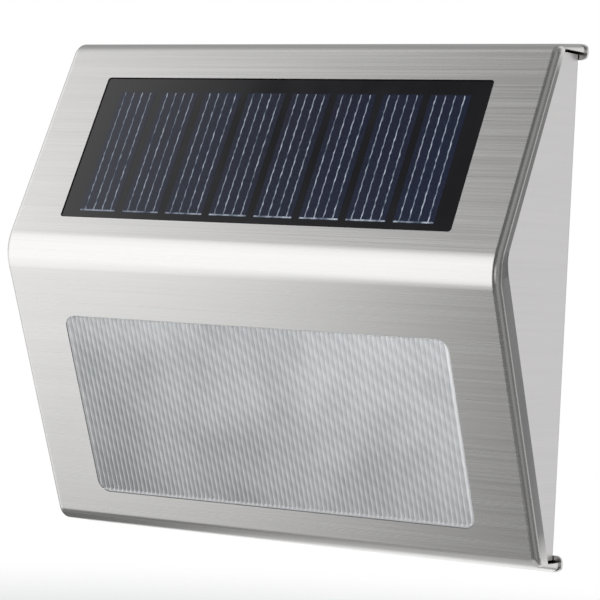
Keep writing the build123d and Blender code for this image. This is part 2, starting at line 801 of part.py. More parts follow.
with BuildPart() as capacitor:
    with BuildSketch(rear_plane(control_front)):
        with Locations(capacitor_place):
            Circle(capacitor_radius)
    extrude(amount=capacitor_height)
    fillet(capacitor.edges().group_by(Axis.Y)[0], capacitor_radius / 8)

channel_depth = knob_foot_height + 2 * knob_slide_gap + sheet / 2
switch_rear = control_depth - switch_height
knob_x = switch_x - switch_travel / 2

with BuildPart() as switch_body:
    with BuildSketch(rear_plane(switch_rear)):
        with Locations((switch_x, switch_z)):
            Rectangle(switch_length, switch_width)
    extrude(amount=switch_height)
    with BuildSketch(rear_plane(switch_rear)):
        with Locations((switch_x, switch_z)):
            Rectangle(
                knob_foot_length + switch_travel + 2 * knob_slide_gap,
                knob_width + 2 * knob_slide_gap,
            )
    extrude(amount=channel_depth, mode=Mode.SUBTRACT)

with BuildPart() as switch_knob:
    with BuildSketch(rear_plane(switch_rear + channel_depth - knob_slide_gap)):
        with Locations((knob_x, switch_z)):
            Rectangle(knob_foot_length, knob_width)
    extrude(amount=-knob_foot_height)
    with BuildSketch(rear_plane(switch_rear + channel_depth - knob_slide_gap)):
        with Locations((knob_x, switch_z)):
            Rectangle(knob_length, knob_width)
    extrude(amount=knob_recess - switch_rear - channel_depth + knob_slide_gap)
    fillet(switch_knob.edges().group_by(Axis.Y)[-1].filter_by(Axis.Z), knob_length / 8)

with BuildPart() as switch_pins:
    with BuildSketch(rear_plane(control_depth)):
        with Locations(*pin_spots):
            Circle(switch_pin_radius)
    extrude(amount=switch_pin_length)

# ---- screws: each is modelled once, pointing down its local -Z, then set in place ----
with BuildPart() as countersunk_screw:
    with BuildSketch(Plane.XZ):
        with BuildLine():
            Polyline(
                (0, 0),
                (casing_screw_head_radius, 0),
                (casing_screw_radius, casing_screw_radius - casing_screw_head_radius),
                (casing_screw_radius, -casing_screw_length),
                (0, -casing_screw_length - casing_screw_radius),
                close=True,
            )
        make_face()
    revolve(axis=Axis.Z)
    with BuildSketch(Plane.XY):
        Rectangle(casing_screw_head_radius, recess_width)
        Rectangle(recess_width, casing_screw_head_radius)
    extrude(amount=-recess_depth, mode=Mode.SUBTRACT)

with BuildPart() as pan_screw:
    Cylinder(board_screw_head_radius, board_screw_head_height, align=(Align.CENTER, Align.CENTER, Align.MIN))
    fillet(pan_screw.edges().group_by(Axis.Z)[-1], board_screw_head_height / 2)
    Cylinder(board_screw_radius, board_screw_length, align=(Align.CENTER, Align.CENTER, Align.MAX))
    with BuildSketch(Plane.XY.offset(board_screw_head_height)):
        Rectangle(board_screw_head_radius, recess_width)
        Rectangle(recess_width, board_screw_head_radius)
    extrude(amount=-recess_depth, mode=Mode.SUBTRACT)

with BuildPart() as casing_screws:
    with Locations(wall_out):
        with Locations(*[(x, z, -pilot_clearance) for x, z in screw_spots]):
            add(countersunk_screw.part)

with BuildPart() as board_screws:
    with Locations(rear_plane(control_front)):
        with Locations(*standoff_spots):
            add(pan_screw.part)
    led_board_outside = lower_cross(tray_top - board_thickness)
    with Locations(Plane(led_board_outside.origin, x_dir=(1, 0, 0), z_dir=-lower_run)):
        with Locations((0, led_depth)):
            with GridLocations(led_pitch, 0, led_count - 1, 1):
                add(pan_screw.part)


# ---- wire pairs: straight runs joined by arcs ----
def wire_pair(positions, route):
    """Two equal strands at the given x positions along a route of (y, z) points."""
    with BuildPart() as pair:
        for x in positions:
            points = [Vector(x, y, z) for y, z in route]
            runs = [b - a for a, b in zip(points, points[1:])]
            turns = [radians(a.get_angle(b)) for a, b in zip(runs, runs[1:])]
            radii = [
                arc_share * min(a.length, b.length) / tan(turn / 2)
                for a, b, turn in zip(runs, runs[1:], turns)
            ]
            with BuildLine():
                FilletPolyline(*points, radius=radii)
            with BuildSketch(Plane(origin=points[0], z_dir=runs[0])):
                Circle(wire_radius)
            sweep()
            print(f"wire at x = {x:.1f}: arcs of {', '.join(f'{r:.1f}' for r in radii)} mm")
    return pair.part


def side_point(run, inward, along, depth):
    """(y, z) of a point on a slope."""
    point = apex + run * along + inward * depth
    return point.Y, point.Z


pad_row_z = control_centre - control_height / 2 + pad_margin
pad = (-control_front, pad_row_z)
pad_lead = (-control_front - pad_reach, pad_row_z)

with BuildPart() as panel_wires:
    tab_face = panel_back + tab_thickness
    add(
        wire_pair(
            (-tab_spacing / 2, tab_spacing / 2),
            [
                side_point(upper_run, upper_in, panel_along - tab_drop, tab_face),
                side_point(upper_run, upper_in, panel_along - tab_drop, tab_face + panel_wire_reach),
                pad_lead,
                pad,
            ],
        )
    )

with BuildPart() as led_wires:
    board_back = tray_top - board_thickness
    add(
        wire_pair(
            (-led_wire_x, -led_wire_x + wire_pair_gap),
            [
                side_point(lower_run, lower_in, board_back, led_depth),
                side_point(lower_run, lower_in, board_back - led_wire_reach, led_depth),
                pad_lead,
                pad,
            ],
        )
    )

with BuildPart() as battery_wires:
    tab_x = bay_half_length - contact_thickness / 2
    tab_edge_y = -bay_front - wire_radius - fit_gap
    tab_edge_z = bay_height + contact_tab_width / 2
    add(
        wire_pair(
            (-tab_x, tab_x),
            [
                (tab_edge_y, tab_edge_z),
                (tab_edge_y, bay_height + bay_half_height + bay_wall + battery_wire_clear),
                (-control_front - battery_wire_reach, pad_row_z),
                pad,
            ],
        )
    )

# ---- labels and files ----
pieces = {
    "front_cover": front_cover,
    "rear_casing": rear_casing,
    "inner_housing": inner_housing,
    "back_cover": back_cover,
    "panel_board": panel_board,
    "solar_cells": solar_cells,
    "cell_grid_lines": cell_grid_lines,
    "panel_tabs": panel_tabs,
    "panel_seal": panel_seal,
    "window_lens": window_lens,
    "lens_gasket": lens_gasket,
    "reflector_tray": reflector_tray,
    "led_board": led_board,
    "leds": leds,
    "control_board": control_board,
    "driver_chip": driver_chip,
    "inductor": inductor,
    "capacitor": capacitor,
    "switch_body": switch_body,
    "switch_knob": switch_knob,
    "switch_pins": switch_pins,
    "battery_cell": battery_cell,
    "battery_cap": battery_cap,
    "contact_plate": contact_plate,
    "spring_plate": spring_plate,
    "contact_spring": contact_spring,
    "battery_door": battery_door,
    "door_seal": door_seal,
    "casing_screws": casing_screws,
    "board_screws": board_screws,
    "panel_wires": panel_wires,
    "led_wires": led_wires,
    "battery_wires": battery_wires,
}
os.makedirs("parts", exist_ok=True)
for name, piece in pieces.items():
    piece.part.label = name
    export_step(piece.part, f"parts/{name}.step")
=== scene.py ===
# %% [markdown]
# # Solar fence light
# A folded stainless front hangs over a black moulded body. A flush solar panel lies above the big bend
# and a ribbed window below it. The CAD solids come in as a fixed frame, and this notebook dresses them:
# it gives each one a finish, and rebuilds the pieces whose form a plain solid can't show.

import math

import bpy
import numpy as np
from mathutils import Matrix, Vector


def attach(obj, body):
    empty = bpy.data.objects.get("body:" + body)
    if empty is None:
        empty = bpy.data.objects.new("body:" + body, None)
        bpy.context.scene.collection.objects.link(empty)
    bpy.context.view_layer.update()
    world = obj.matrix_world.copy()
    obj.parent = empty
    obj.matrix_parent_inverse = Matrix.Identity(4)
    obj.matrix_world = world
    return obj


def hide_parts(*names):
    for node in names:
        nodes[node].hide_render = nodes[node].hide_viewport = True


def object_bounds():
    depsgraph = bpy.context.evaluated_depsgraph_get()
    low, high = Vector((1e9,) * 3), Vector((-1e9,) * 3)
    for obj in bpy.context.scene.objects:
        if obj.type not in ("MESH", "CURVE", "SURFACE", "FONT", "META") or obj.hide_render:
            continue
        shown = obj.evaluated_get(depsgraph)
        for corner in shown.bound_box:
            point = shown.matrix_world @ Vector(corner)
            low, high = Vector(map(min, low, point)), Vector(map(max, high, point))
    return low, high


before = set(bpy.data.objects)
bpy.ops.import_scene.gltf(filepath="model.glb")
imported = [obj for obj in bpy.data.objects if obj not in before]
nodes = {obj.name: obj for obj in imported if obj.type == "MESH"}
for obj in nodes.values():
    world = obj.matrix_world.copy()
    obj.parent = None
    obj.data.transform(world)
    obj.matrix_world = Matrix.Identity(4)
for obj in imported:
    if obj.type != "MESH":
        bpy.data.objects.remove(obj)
cad_box = [list(corner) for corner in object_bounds()]
MM = 0.001
print("frame nodes:", len(nodes), "box:", cad_box)

# %% [markdown]
# ## Camera
# The picture was taken from a little over half a metre, to the right of the light and level with it,
# and the camera leaned by almost three degrees. It could be turned by eye until the edges agree, but a
# camera is only a place, a direction, a roll and a lens, so its matrix is written from those four.

# %% Camera at the photograph's place
AZIMUTH, ELEVATION, ROLL = (math.radians(a) for a in (31.238, 0.65, 2.851))
TARGET = Vector((9.385, -25.0, -32.182)) * MM
DISTANCE = 551.878 * MM
LENS = 160.0
SENSOR = 36.0

back = Vector(
    (
        math.sin(AZIMUTH) * math.cos(ELEVATION),
        -math.cos(AZIMUTH) * math.cos(ELEVATION),
        math.sin(ELEVATION),
    )
)
level = (-back).cross(Vector((0, 0, 1))).normalized()
above = level.cross(-back)
right = level * math.cos(ROLL) + above * math.sin(ROLL)
up = above * math.cos(ROLL) - level * math.sin(ROLL)
facing = Matrix((right, up, back)).transposed().to_4x4()

camera = bpy.data.objects.new("camera", bpy.data.cameras.new("camera"))
bpy.context.scene.collection.objects.link(camera)
camera.data.lens = LENS
camera.data.sensor_width = SENSOR
camera.data.clip_start = 0.01
camera.matrix_world = Matrix.Translation(TARGET + back * DISTANCE) @ facing
bpy.context.scene.camera = camera
bpy.context.scene.view_settings.view_transform = "Standard"
print("camera at", tuple(round(c, 4) for c in camera.location))

# %% [markdown]
# ## Studio
# Brushed steel has little colour of its own and shows what stands round it. A product photographer
# sets it between a bright panel on one side and dark cards near the lens. Those cards could be real
# planes, but they would throw shadows and show in other views. Here the world plays them: its
# brightness follows the compass direction of the mirrored ray. Matt surfaces get a plain even light,
# and the camera itself sees a white background.

# %% Brightness round the compass
# Each stop is (degrees, brightness): 0 is straight ahead of the light, and 90 is to its right.
RIGHT_STOPS = [(50, 0.20), (85, 0.22), (105, 0.12), (134, 0.12), (143, 0.56), (156, 0.64), (168, 0.20)]
DARK_CARDS = [(-15, 0.07), (35, 0.08), *RIGHT_STOPS]
UP_STOPS = [(-180, 0.26), (-105, 0.22), (-80, 0.46), (-60, 0.55), (-53.5, 0.53), (-51.5, 0.37)]
UP_STOPS += [(-49.5, 0.10), (-46, 0.08), (-38, 0.10), *DARK_CARDS]
DOWN_STOPS = [(-180, 0.62), (-100, 0.64), (-60, 0.66), (-47.5, 0.68), (-44.3, 0.92), (-41.8, 0.88)]
DOWN_STOPS += [(-39.9, 0.56), (-37, 0.12), (-33, 0.05), *DARK_CARDS]
BAND_STOPS = [(-180, 0.45), (-70, 0.66), (-50, 0.80), (-24, 0.80), (-19, 0.30), (-12, 0.06), (35, 0.06)]
BAND_STOPS += RIGHT_STOPS
print("compass stops:", len(UP_STOPS), len(DOWN_STOPS), len(BAND_STOPS))


# %% Helpers for node trees
def compass_ramp(tree, stops):
    """A colour ramp over the compass, from -180 to 180 degrees."""
    ramp = tree.nodes.new("ShaderNodeValToRGB")
    elements = ramp.color_ramp.elements
    elements.remove(elements[-1])
    for i, (degrees, level) in enumerate(stops):
        position = (degrees + 180) / 360
        spot = elements[0] if i == 0 else elements.new(position)
        spot.position = position
        spot.color = (level, level, level, 1)
    return ramp


def value_node(tree, operation, *inputs):
    """A Math node with its inputs linked or set."""
    node = tree.nodes.new("ShaderNodeMath")
    node.operation = operation
    for socket, source in zip(node.inputs, inputs):
        if isinstance(source, (int, float)):
            socket.default_value = source
        else:
            tree.links.new(source, socket)
    return node.outputs[0]


def mix_colour(tree, factor, first, second, blend="MIX"):
    """A Mix node on colours; each input is a socket, a number or a colour."""
    node = tree.nodes.new("ShaderNodeMix")
    node.data_type = "RGBA"
    node.blend_type = blend
    for socket, source in zip((node.inputs[0], node.inputs[6], node.inputs[7]), (factor, first, second)):
        if isinstance(source, (int, float)):
            socket.default_value = source
        elif isinstance(source, tuple):
            socket.default_value = (*source, 1)
        else:
            tree.links.new(source, socket)
    return node.outputs[2]


def map_range(tree, source, from_min, from_max, to_min=0.0, to_max=1.0, smooth=False):
    """A Map Range node: from_min to from_max becomes to_min to to_max, with soft ends if smooth."""
    node = tree.nodes.new("ShaderNodeMapRange")
    if smooth:
        node.interpolation_type = "SMOOTHSTEP"
    tree.links.new(source, node.inputs["Value"])
    node.inputs["From Min"].default_value = from_min
    node.inputs["From Max"].default_value = from_max
    node.inputs["To Min"].default_value = to_min
    node.inputs["To Max"].default_value = to_max
    return node.outputs[0]


# %% World: its nodes and the compass ramps
world = bpy.data.worlds.new("studio")
bpy.context.scene.world = world
world.use_nodes = True
sky = world.node_tree
sky.nodes.clear()
ray = sky.nodes.new("ShaderNodeTexCoord")
ray_axes = sky.nodes.new("ShaderNodeSeparateXYZ")
sky.links.new(ray.outputs["Generated"], ray_axes.inputs[0])
ahead = value_node(sky, "MULTIPLY", ray_axes.outputs["Y"], -1.0)
compass = value_node(sky, "ARCTAN2", ray_axes.outputs["X"], ahead)
turn = value_node(sky, "MULTIPLY_ADD", compass, 1 / (2 * math.pi), 0.5)
upward, downward, band = (compass_ramp(sky, stops) for stops in (UP_STOPS, DOWN_STOPS, BAND_STOPS))
for ramp in (upward, downward, band):
    sky.links.new(turn, ramp.inputs[0])


def where(*stretches):
    """A mask of directions: each stretch is (axis, value of no effect, value of full effect)."""
    result = None
    for axis, none, full in stretches:
        mask = map_range(sky, ray_axes.outputs[axis], none, full, smooth=True)
        result = mask if result is None else value_node(sky, "MULTIPLY", result, mask)
    return result


def grey(brightness):
    """A neutral colour."""
    return (brightness,) * 3


# %% World: which ramp or patch a direction shows
UPPER_SLOPE = (("Z", 0.54, 0.73),)
LOWER_SLOPE = (("Z", -0.42, -0.58),)
HIGH_BEHIND = (("Z", -0.08, 0.04),)
BEHIND = (("Y", 0.1, 0.4),)
ZENITH = (("Z", 0.80, 0.95),)
FLOOR_AHEAD = (("Z", -0.60, -0.76), ("Y", 0.25, 0.0))
FLOOR_BEHIND = (("Z", -0.20, -0.45), ("Y", 0.88, 0.68), ("Y", -0.15, 0.05), ("X", -0.47, -0.57))
FLOOR_CORNER = (("Z", -0.64, -0.665), ("X", -0.515, -0.565))
FLOOR_PATCH = (("Z", -0.77, -0.84), ("X", -0.56, -0.50), ("Y", 0.5, 0.2))
LENS_SIDE = (("Z", -0.30, -0.12), ("Z", 0.30, 0.12), ("X", 0.20, 0.40), ("X", 0.78, 0.62), ("Y", -0.4, -0.7))
ZENITH_LEVEL, FLOOR_LEVEL, PATCH_LEVEL, LENS_SIDE_LEVEL = 0.16, 0.07, 0.34, 0.60
CORNER_SHARE = 0.8
COMPASS_GAIN = 2.0
EVEN_LIGHT = (0.54, 0.55, 0.56)

cards_ahead = mix_colour(sky, where(*UPPER_SLOPE), band.outputs[0], upward.outputs[0])
cards_ahead = mix_colour(sky, where(*LOWER_SLOPE), cards_ahead, downward.outputs[0])
cards_behind = mix_colour(sky, where(*HIGH_BEHIND), downward.outputs[0], upward.outputs[0])
cards = mix_colour(sky, where(*BEHIND), cards_ahead, cards_behind)
cards = mix_colour(sky, where(*ZENITH), cards, grey(ZENITH_LEVEL))
corner = value_node(sky, "MULTIPLY", where(*FLOOR_CORNER), CORNER_SHARE)
floor_mask = value_node(sky, "MAXIMUM", where(*FLOOR_AHEAD), where(*FLOOR_BEHIND))
floor_mask = value_node(sky, "MAXIMUM", floor_mask, corner)
cards = mix_colour(sky, floor_mask, cards, grey(FLOOR_LEVEL))
cards = mix_colour(sky, where(*FLOOR_PATCH), cards, grey(PATCH_LEVEL))
cards = mix_colour(sky, where(*LENS_SIDE), cards, grey(LENS_SIDE_LEVEL))
cards = mix_colour(sky, 1.0, cards, grey(COMPASS_GAIN), "MULTIPLY")

# %% World: who sees the cards
rays = sky.nodes.new("ShaderNodeLightPath")
seen = mix_colour(sky, rays.outputs["Is Glossy Ray"], EVEN_LIGHT, cards)
seen = mix_colour(sky, rays.outputs["Is Transmission Ray"], seen, grey(1.0))
seen = mix_colour(sky, rays.outputs["Is Camera Ray"], seen, grey(1.0))
shine = sky.nodes.new("ShaderNodeBackground")
sky.links.new(seen, shine.inputs["Color"])
surround = sky.nodes.new("ShaderNodeOutputWorld")
sky.links.new(shine.outputs[0], surround.inputs["Surface"])
print("world nodes:", len(sky.nodes))


# %% Two soft lamps: one high in front on the left, one near the window on the right
def soft_lamp(name, place, aim, size, watts):
    """A square area lamp that lights matt surfaces and leaves no patch in the steel."""
    lamp = bpy.data.objects.new(name, bpy.data.lights.new(name, "AREA"))
    lamp.data.size = size
    lamp.data.energy = watts
    bpy.context.scene.collection.objects.link(lamp)
    lamp.location = place
    lamp.rotation_mode = "QUATERNION"
    lamp.rotation_quaternion = (Vector(aim) - Vector(place)).to_track_quat("-Z", "Y")
    lamp.visible_glossy = False


soft_lamp("key_lamp", (-0.3, -0.9, 0.9), (0, 0, -0.03), size=0.7, watts=3.0)
soft_lamp("window_lamp", (0.13, -0.18, 0.03), (0.05, -0.02, -0.05), size=0.12, watts=0.62)

# %% [markdown]
# ## Floor
# The light hangs on a wall, so the floor lies a little below it and only takes a faint shadow. A large
# plane would end in a horizon line. This one is a disc that fades to clear at its rim, and it is clear
# from below too, so the light can be looked at from there.

# %% Pale floor disc
FLOOR_DROP = 0.045
FLOOR_RADIUS = 0.6
FLOOR_CORNERS = 96
FADE_FROM, FADE_TO = 0.10, 0.36
floor_z = cad_box[0][2] - FLOOR_DROP
spokes = np.linspace(0, 2 * math.pi, FLOOR_CORNERS, endpoint=False)
rim = FLOOR_RADIUS * np.stack([np.cos(spokes), np.sin(spokes), np.zeros(FLOOR_CORNERS)], 1)
rim[:, 2] = floor_z
floor_mesh = bpy.data.meshes.new("floor")
floor_mesh.from_pydata(rim.tolist(), [], [list(range(FLOOR_CORNERS))])
floor = bpy.data.objects.new("floor", floor_mesh)
bpy.context.scene.collection.objects.link(floor)
floor.visible_glossy = False
print("floor at z =", round(floor_z, 4))

# %% Floor paint
floor_paint = bpy.data.materials.new("floor_paint")
floor_paint.use_nodes = True
tree = floor_paint.node_tree
tree.nodes.clear()
spot = tree.nodes.new("ShaderNodeTexCoord")
flat = tree.nodes.new("ShaderNodeVectorMath")
flat.operation = "MULTIPLY"
flat.inputs[1].default_value = (1, 1, 0)
away = tree.nodes.new("ShaderNodeVectorMath")
away.operation = "LENGTH"
tree.links.new(spot.outputs["Object"], flat.inputs[0])
tree.links.new(flat.outputs[0], away.inputs[0])
fade = map_range(tree, away.outputs["Value"], FADE_FROM, FADE_TO, smooth=True)
side = tree.nodes.new("ShaderNodeNewGeometry")
matt = tree.nodes.new("ShaderNodeBsdfDiffuse")
matt.inputs["Color"].default_value = (0.93, 0.93, 0.93, 1)
clear = tree.nodes.new("ShaderNodeBsdfTransparent")
blend = tree.nodes.new("ShaderNodeMixShader")
surface = tree.nodes.new("ShaderNodeOutputMaterial")
tree.links.new(value_node(tree, "MAXIMUM", fade, side.outputs["Backfacing"]), blend.inputs[0])
tree.links.new(matt.outputs[0], blend.inputs[1])
tree.links.new(clear.outputs[0], blend.inputs[2])
tree.links.new(blend.outputs[0], surface.inputs[0])
floor_mesh.materials.append(floor_paint)


# %% [markdown]
# ## Effects that several finishes share
# Each effect is a node group with named inputs, built once. It reads Object coordinates, so a pattern
# keeps its real size in millimetres on every piece, and puts out masks that each finish uses its way.

# %% Helpers for node groups
def new_group(name, inputs, outputs):
    """An empty shader group; inputs and outputs are (name, socket type, default) rows."""
    group = bpy.data.node_groups.new(name, "ShaderNodeTree")
    for in_out, rows in (("INPUT", inputs), ("OUTPUT", outputs)):
        for label, kind, start in rows:
            socket = group.interface.new_socket(name=label, in_out=in_out, socket_type=kind)
            if start is not None:
                socket.default_value = start
    return group, group.nodes.new("NodeGroupInput"), group.nodes.new("NodeGroupOutput")


def scaled_position(tree, scale=(1.0, 1.0, 1.0)):
    """Object coordinates times a vector, which is a tuple or a socket."""
    place = tree.nodes.new("ShaderNodeTexCoord")
    stretch = tree.nodes.new("ShaderNodeVectorMath")
    stretch.operation = "MULTIPLY"
    tree.links.new(place.outputs["Object"], stretch.inputs[0])
    if isinstance(scale, tuple):
        stretch.inputs[1].default_value = scale
    else:
        tree.links.new(scale, stretch.inputs[1])
    return stretch.outputs[0]


def noise(tree, position, scale, detail=2.0, roughness=0.5):
    """A Noise texture's value at a position; scale is a number or a socket."""
    node = tree.nodes.new("ShaderNodeTexNoise")
    tree.links.new(position, node.inputs["Vector"])
    if isinstance(scale, (int, float)):
        node.inputs["Scale"].default_value = scale
    else:
        tree.links.new(scale, node.inputs["Scale"])
    node.inputs["Detail"].default_value = detail
    node.inputs["Roughness"].default_value = roughness
    return node.outputs["Fac"]


# %% [markdown]
# ### Brush lines
# A sheet is brushed with a belt, which leaves thousands of scratches in one direction, each a few
# centimetres long and a fraction of a millimetre wide. They could be an image, but noise that is
# stretched along the belt's way needs none and never repeats: one fine layer gives the scratches, and
# one coarse layer gives the bands that the belt leaves.

# %% Group: brush lines
BAND_SCALE = 0.16
brush_lines, g_in, g_out = new_group(
    "brush_lines",
    [("Stretch", "NodeSocketVector", (14.0, 3000.0, 3000.0))],
    [("Lines", "NodeSocketFloat", None), ("Bands", "NodeSocketFloat", None)],
)
fine = noise(brush_lines, scaled_position(brush_lines, g_in.outputs["Stretch"]), 1.0, 3.0, 0.65)
coarse = noise(brush_lines, scaled_position(brush_lines, g_in.outputs["Stretch"]), BAND_SCALE)
brush_lines.links.new(fine, g_out.inputs["Lines"])
brush_lines.links.new(coarse, g_out.inputs["Bands"])

# %% [markdown]
# ### Grain and film
# Nothing stays perfectly even: moulded plastic has a fine spark-eroded texture, and every surface
# carries a faint uneven film. Plain noise at two scales covers both.

# %% Group: grain and film
grain_film, g_in, g_out = new_group(
    "grain_film",
    [("Grain Scale", "NodeSocketFloat", 2500.0), ("Film Scale", "NodeSocketFloat", 40.0)],
    [("Grain", "NodeSocketFloat", None), ("Film", "NodeSocketFloat", None)],
)
here = scaled_position(grain_film)
for label, detail in (("Grain", 2.0), ("Film", 3.0)):
    cloud = noise(grain_film, here, g_in.outputs[f"{label} Scale"], detail)
    grain_film.links.new(cloud, g_out.inputs[label])
print("groups:", [g.name for g in bpy.data.node_groups])


# %% [markdown]
# ## Finishes
# A finish starts from its plain colour, and the masks then shift the colour, the gloss and the fine
# relief around it. One function makes every brushed sheet and one every moulded or coated piece, so a
# finish is a row of numbers. Values that stay the same all over a piece are set on the shader itself.

# %% Helpers for every finish
def spread(tree, source, low, high):
    """Noise mostly runs from 0.3 to 0.7; this maps that stretch to low and high."""
    return map_range(tree, source, 0.3, 0.7, low, high)


def height_ramp(tree, low_z, high_z, low, high):
    """A value that runs from low to high between two heights of the object, in metres."""
    height = tree.nodes.new("ShaderNodeSeparateXYZ")
    tree.links.new(scaled_position(tree), height.inputs[0])
    return map_range(tree, height.outputs["Z"], low_z, high_z, low, high)


def new_finish(name, colour, roughness, **sockets):
    """A material with a Principled shader; extra keywords set its sockets by name."""
    made = bpy.data.materials.new(name)
    made.use_nodes = True
    shader = made.node_tree.nodes["Principled BSDF"]
    shader.inputs["Base Color"].default_value = (*colour, 1)
    shader.inputs["Roughness"].default_value = roughness
    for label, setting in sockets.items():
        shader.inputs[label.replace("_", " ")].default_value = setting
    return made, made.node_tree, shader


def use_group(tree, group, **values):
    """Places a group in a material and sets its inputs."""
    node = tree.nodes.new("ShaderNodeGroup")
    node.node_tree = group
    for label, setting in values.items():
        node.inputs[label.replace("_", " ")].default_value = setting
    return node


def bump(tree, shader, source, distance):
    """Feeds a mask to the shader's normal as relief of the given height in metres."""
    node = tree.nodes.new("ShaderNodeBump")
    node.inputs["Distance"].default_value = distance
    tree.links.new(source, node.inputs["Height"])
    tree.links.new(node.outputs[0], shader.inputs["Normal"])


def tinted(tree, source, colour, share):
    """The colour, a share darker to a share lighter as the noise rises."""
    dark, light = (tuple(min(1.0, c * factor) for c in colour) for factor in (1 - share, 1 + share))
    return mix_colour(tree, spread(tree, source, 0.0, 1.0), dark, light)


def dress(piece, made):
    """Gives a piece one finish."""
    piece.data.materials.clear()
    piece.data.materials.append(made)


# %% Two kinds of finish
BAND_SHADE = 0.965


def brushed_steel(name, colour, stretch, roughness, lines, relief, bite=None, **sockets):
    """Brushed sheet: the lines shift its colour, gloss and relief; bite scales the relief by height."""
    made, tree, shader = new_finish(name, colour, roughness, Metallic=1.0, **sockets)
    brush = use_group(tree, brush_lines, Stretch=stretch)
    scratches = brush.outputs["Lines"]
    streaks = tinted(tree, scratches, colour, lines)
    bands = mix_colour(tree, spread(tree, brush.outputs["Bands"], 0.0, 1.0), grey(BAND_SHADE), grey(1.0))
    gloss = spread(tree, scratches, roughness - 0.03, roughness + 0.04)
    tree.links.new(mix_colour(tree, 1.0, streaks, bands, "MULTIPLY"), shader.inputs["Base Color"])
    tree.links.new(gloss, shader.inputs["Roughness"])
    if bite:
        scratches = value_node(tree, "MULTIPLY", scratches, height_ramp(tree, *bite))
    bump(tree, shader, scratches, relief)
    return made


def moulded(name, colour, roughness, grain=1.2e-5, grain_scale=2500.0, share=0.12, **sockets):
    """Moulded or coated piece: grain in its relief, a faint film in its colour and gloss."""
    made, tree, shader = new_finish(name, colour, roughness, **sockets)
    film = use_group(tree, grain_film, Grain_Scale=grain_scale, Film_Scale=60.0)
    gloss = spread(tree, film.outputs["Film"], max(0.02, roughness - 0.05), min(1.0, roughness + 0.06))
    tree.links.new(tinted(tree, film.outputs["Film"], colour, share), shader.inputs["Base Color"])
    tree.links.new(gloss, shader.inputs["Roughness"])
    bump(tree, shader, film.outputs["Grain"], grain)
    return made


# %% [markdown]
# ### Steel
# The front is brushed across its width, and a brushed sheet smears what it mirrors across its lines.
# The shader's anisotropy does that, and a radial tangent about X turns it the same way on both slopes
# and in every bend. The turned side edges mirror the dark gap between front and cheek, which no card
# in the world can give them, so painted shade stands in for that dark reflection and the gap's shadow:
# a map over the sheet darkens the steel colour on the rolled edges and hems. The belt bit deeper below
# the big bend than above it.

# %% Front steel
STEEL = (0.63, 0.625, 0.615)
FRONT_STRETCH = (12.0, 3400.0, 3400.0)
BITE = (-0.032, -0.018, 1.1, 0.35)
# Painted shade on the hems: each row is (place on the hem map, darkness of the steel colour)
HEM_PAINTED_SHADES = ((0.04, 0.30), (0.28, 0.25), (0.36, 0.19), (0.80, 0.18), (0.90, 0.12), (1.0, 0.10))

front_steel = brushed_steel("front_steel", STEEL, FRONT_STRETCH, 0.25, 0.045, 1.6e-6, BITE, Anisotropic=0.6)
tree = front_steel.node_tree
shader = tree.nodes["Principled BSDF"]
plain_steel = shader.inputs["Base Color"].links[0].from_socket
# Painted shade: the hem map darkens the steel colour on the rolled edges and hems, in place of the dark gap
# they mirror
hem_uv = tree.nodes.new("ShaderNodeUVMap")
hem_uv.uv_map = "hem"
hem_painted_shade = tree.nodes.new("ShaderNodeValToRGB")
shades = hem_painted_shade.color_ramp.elements
shades[0].color = (1, 1, 1, 1)
for place, darkness in HEM_PAINTED_SHADES:
    spot = shades[-1] if place == 1.0 else shades.new(place)
    spot.color = (darkness, darkness, darkness * 1.02, 1)
tree.links.new(hem_uv.outputs[0], hem_painted_shade.inputs[0])
steel_painted_hem_shade = mix_colour(tree, 1.0, plain_steel, hem_painted_shade.outputs[0], "MULTIPLY")
tree.links.new(steel_painted_hem_shade, shader.inputs["Base Color"])
brush_way = tree.nodes.new("ShaderNodeTangent")
brush_way.direction_type = "RADIAL"
brush_way.axis = "X"
tree.links.new(brush_way.outputs[0], shader.inputs["Tangent"])

# %% [markdown]
# The rear casing is one sheet too. It is brushed level, so its lines run backwards on the cheeks and
# across on the back plate, and noise that is fine only in Z does both. The screws are turned steel, and
# the small contacts and tabs are nickel-plated.

# %% Casing, screws and contacts
CASING_STRETCH = (16.0, 16.0, 2600.0)
casing_steel = brushed_steel("casing_steel", (0.62, 0.61, 0.61), CASING_STRETCH, 0.34, 0.05, 3e-6)
dress(nodes["rear_casing"], casing_steel)
screw_steel = moulded("screw_steel", (0.55, 0.54, 0.52), 0.28, 4e-6, 4000.0, 0.08, Metallic=1.0)
for name in ("casing_screws", "board_screws"):
    dress(nodes[name], screw_steel)
nickel = moulded("nickel", (0.68, 0.65, 0.60), 0.22, 2e-6, 5000.0, 0.06, Metallic=1.0)
for name in ("panel_tabs", "switch_pins", "contact_plate", "spring_plate", "battery_cap", "switch_body"):
    dress(nodes[name], nickel)

# %% [markdown]
# ### Plastics, boards and small parts
# The body is black moulded plastic with a fine spark texture, the tray is glossy white so that it
# spreads the light of the lamps, and the boards have a green mask over copper. They differ only in
# colour and gloss, so a table gives each its row.

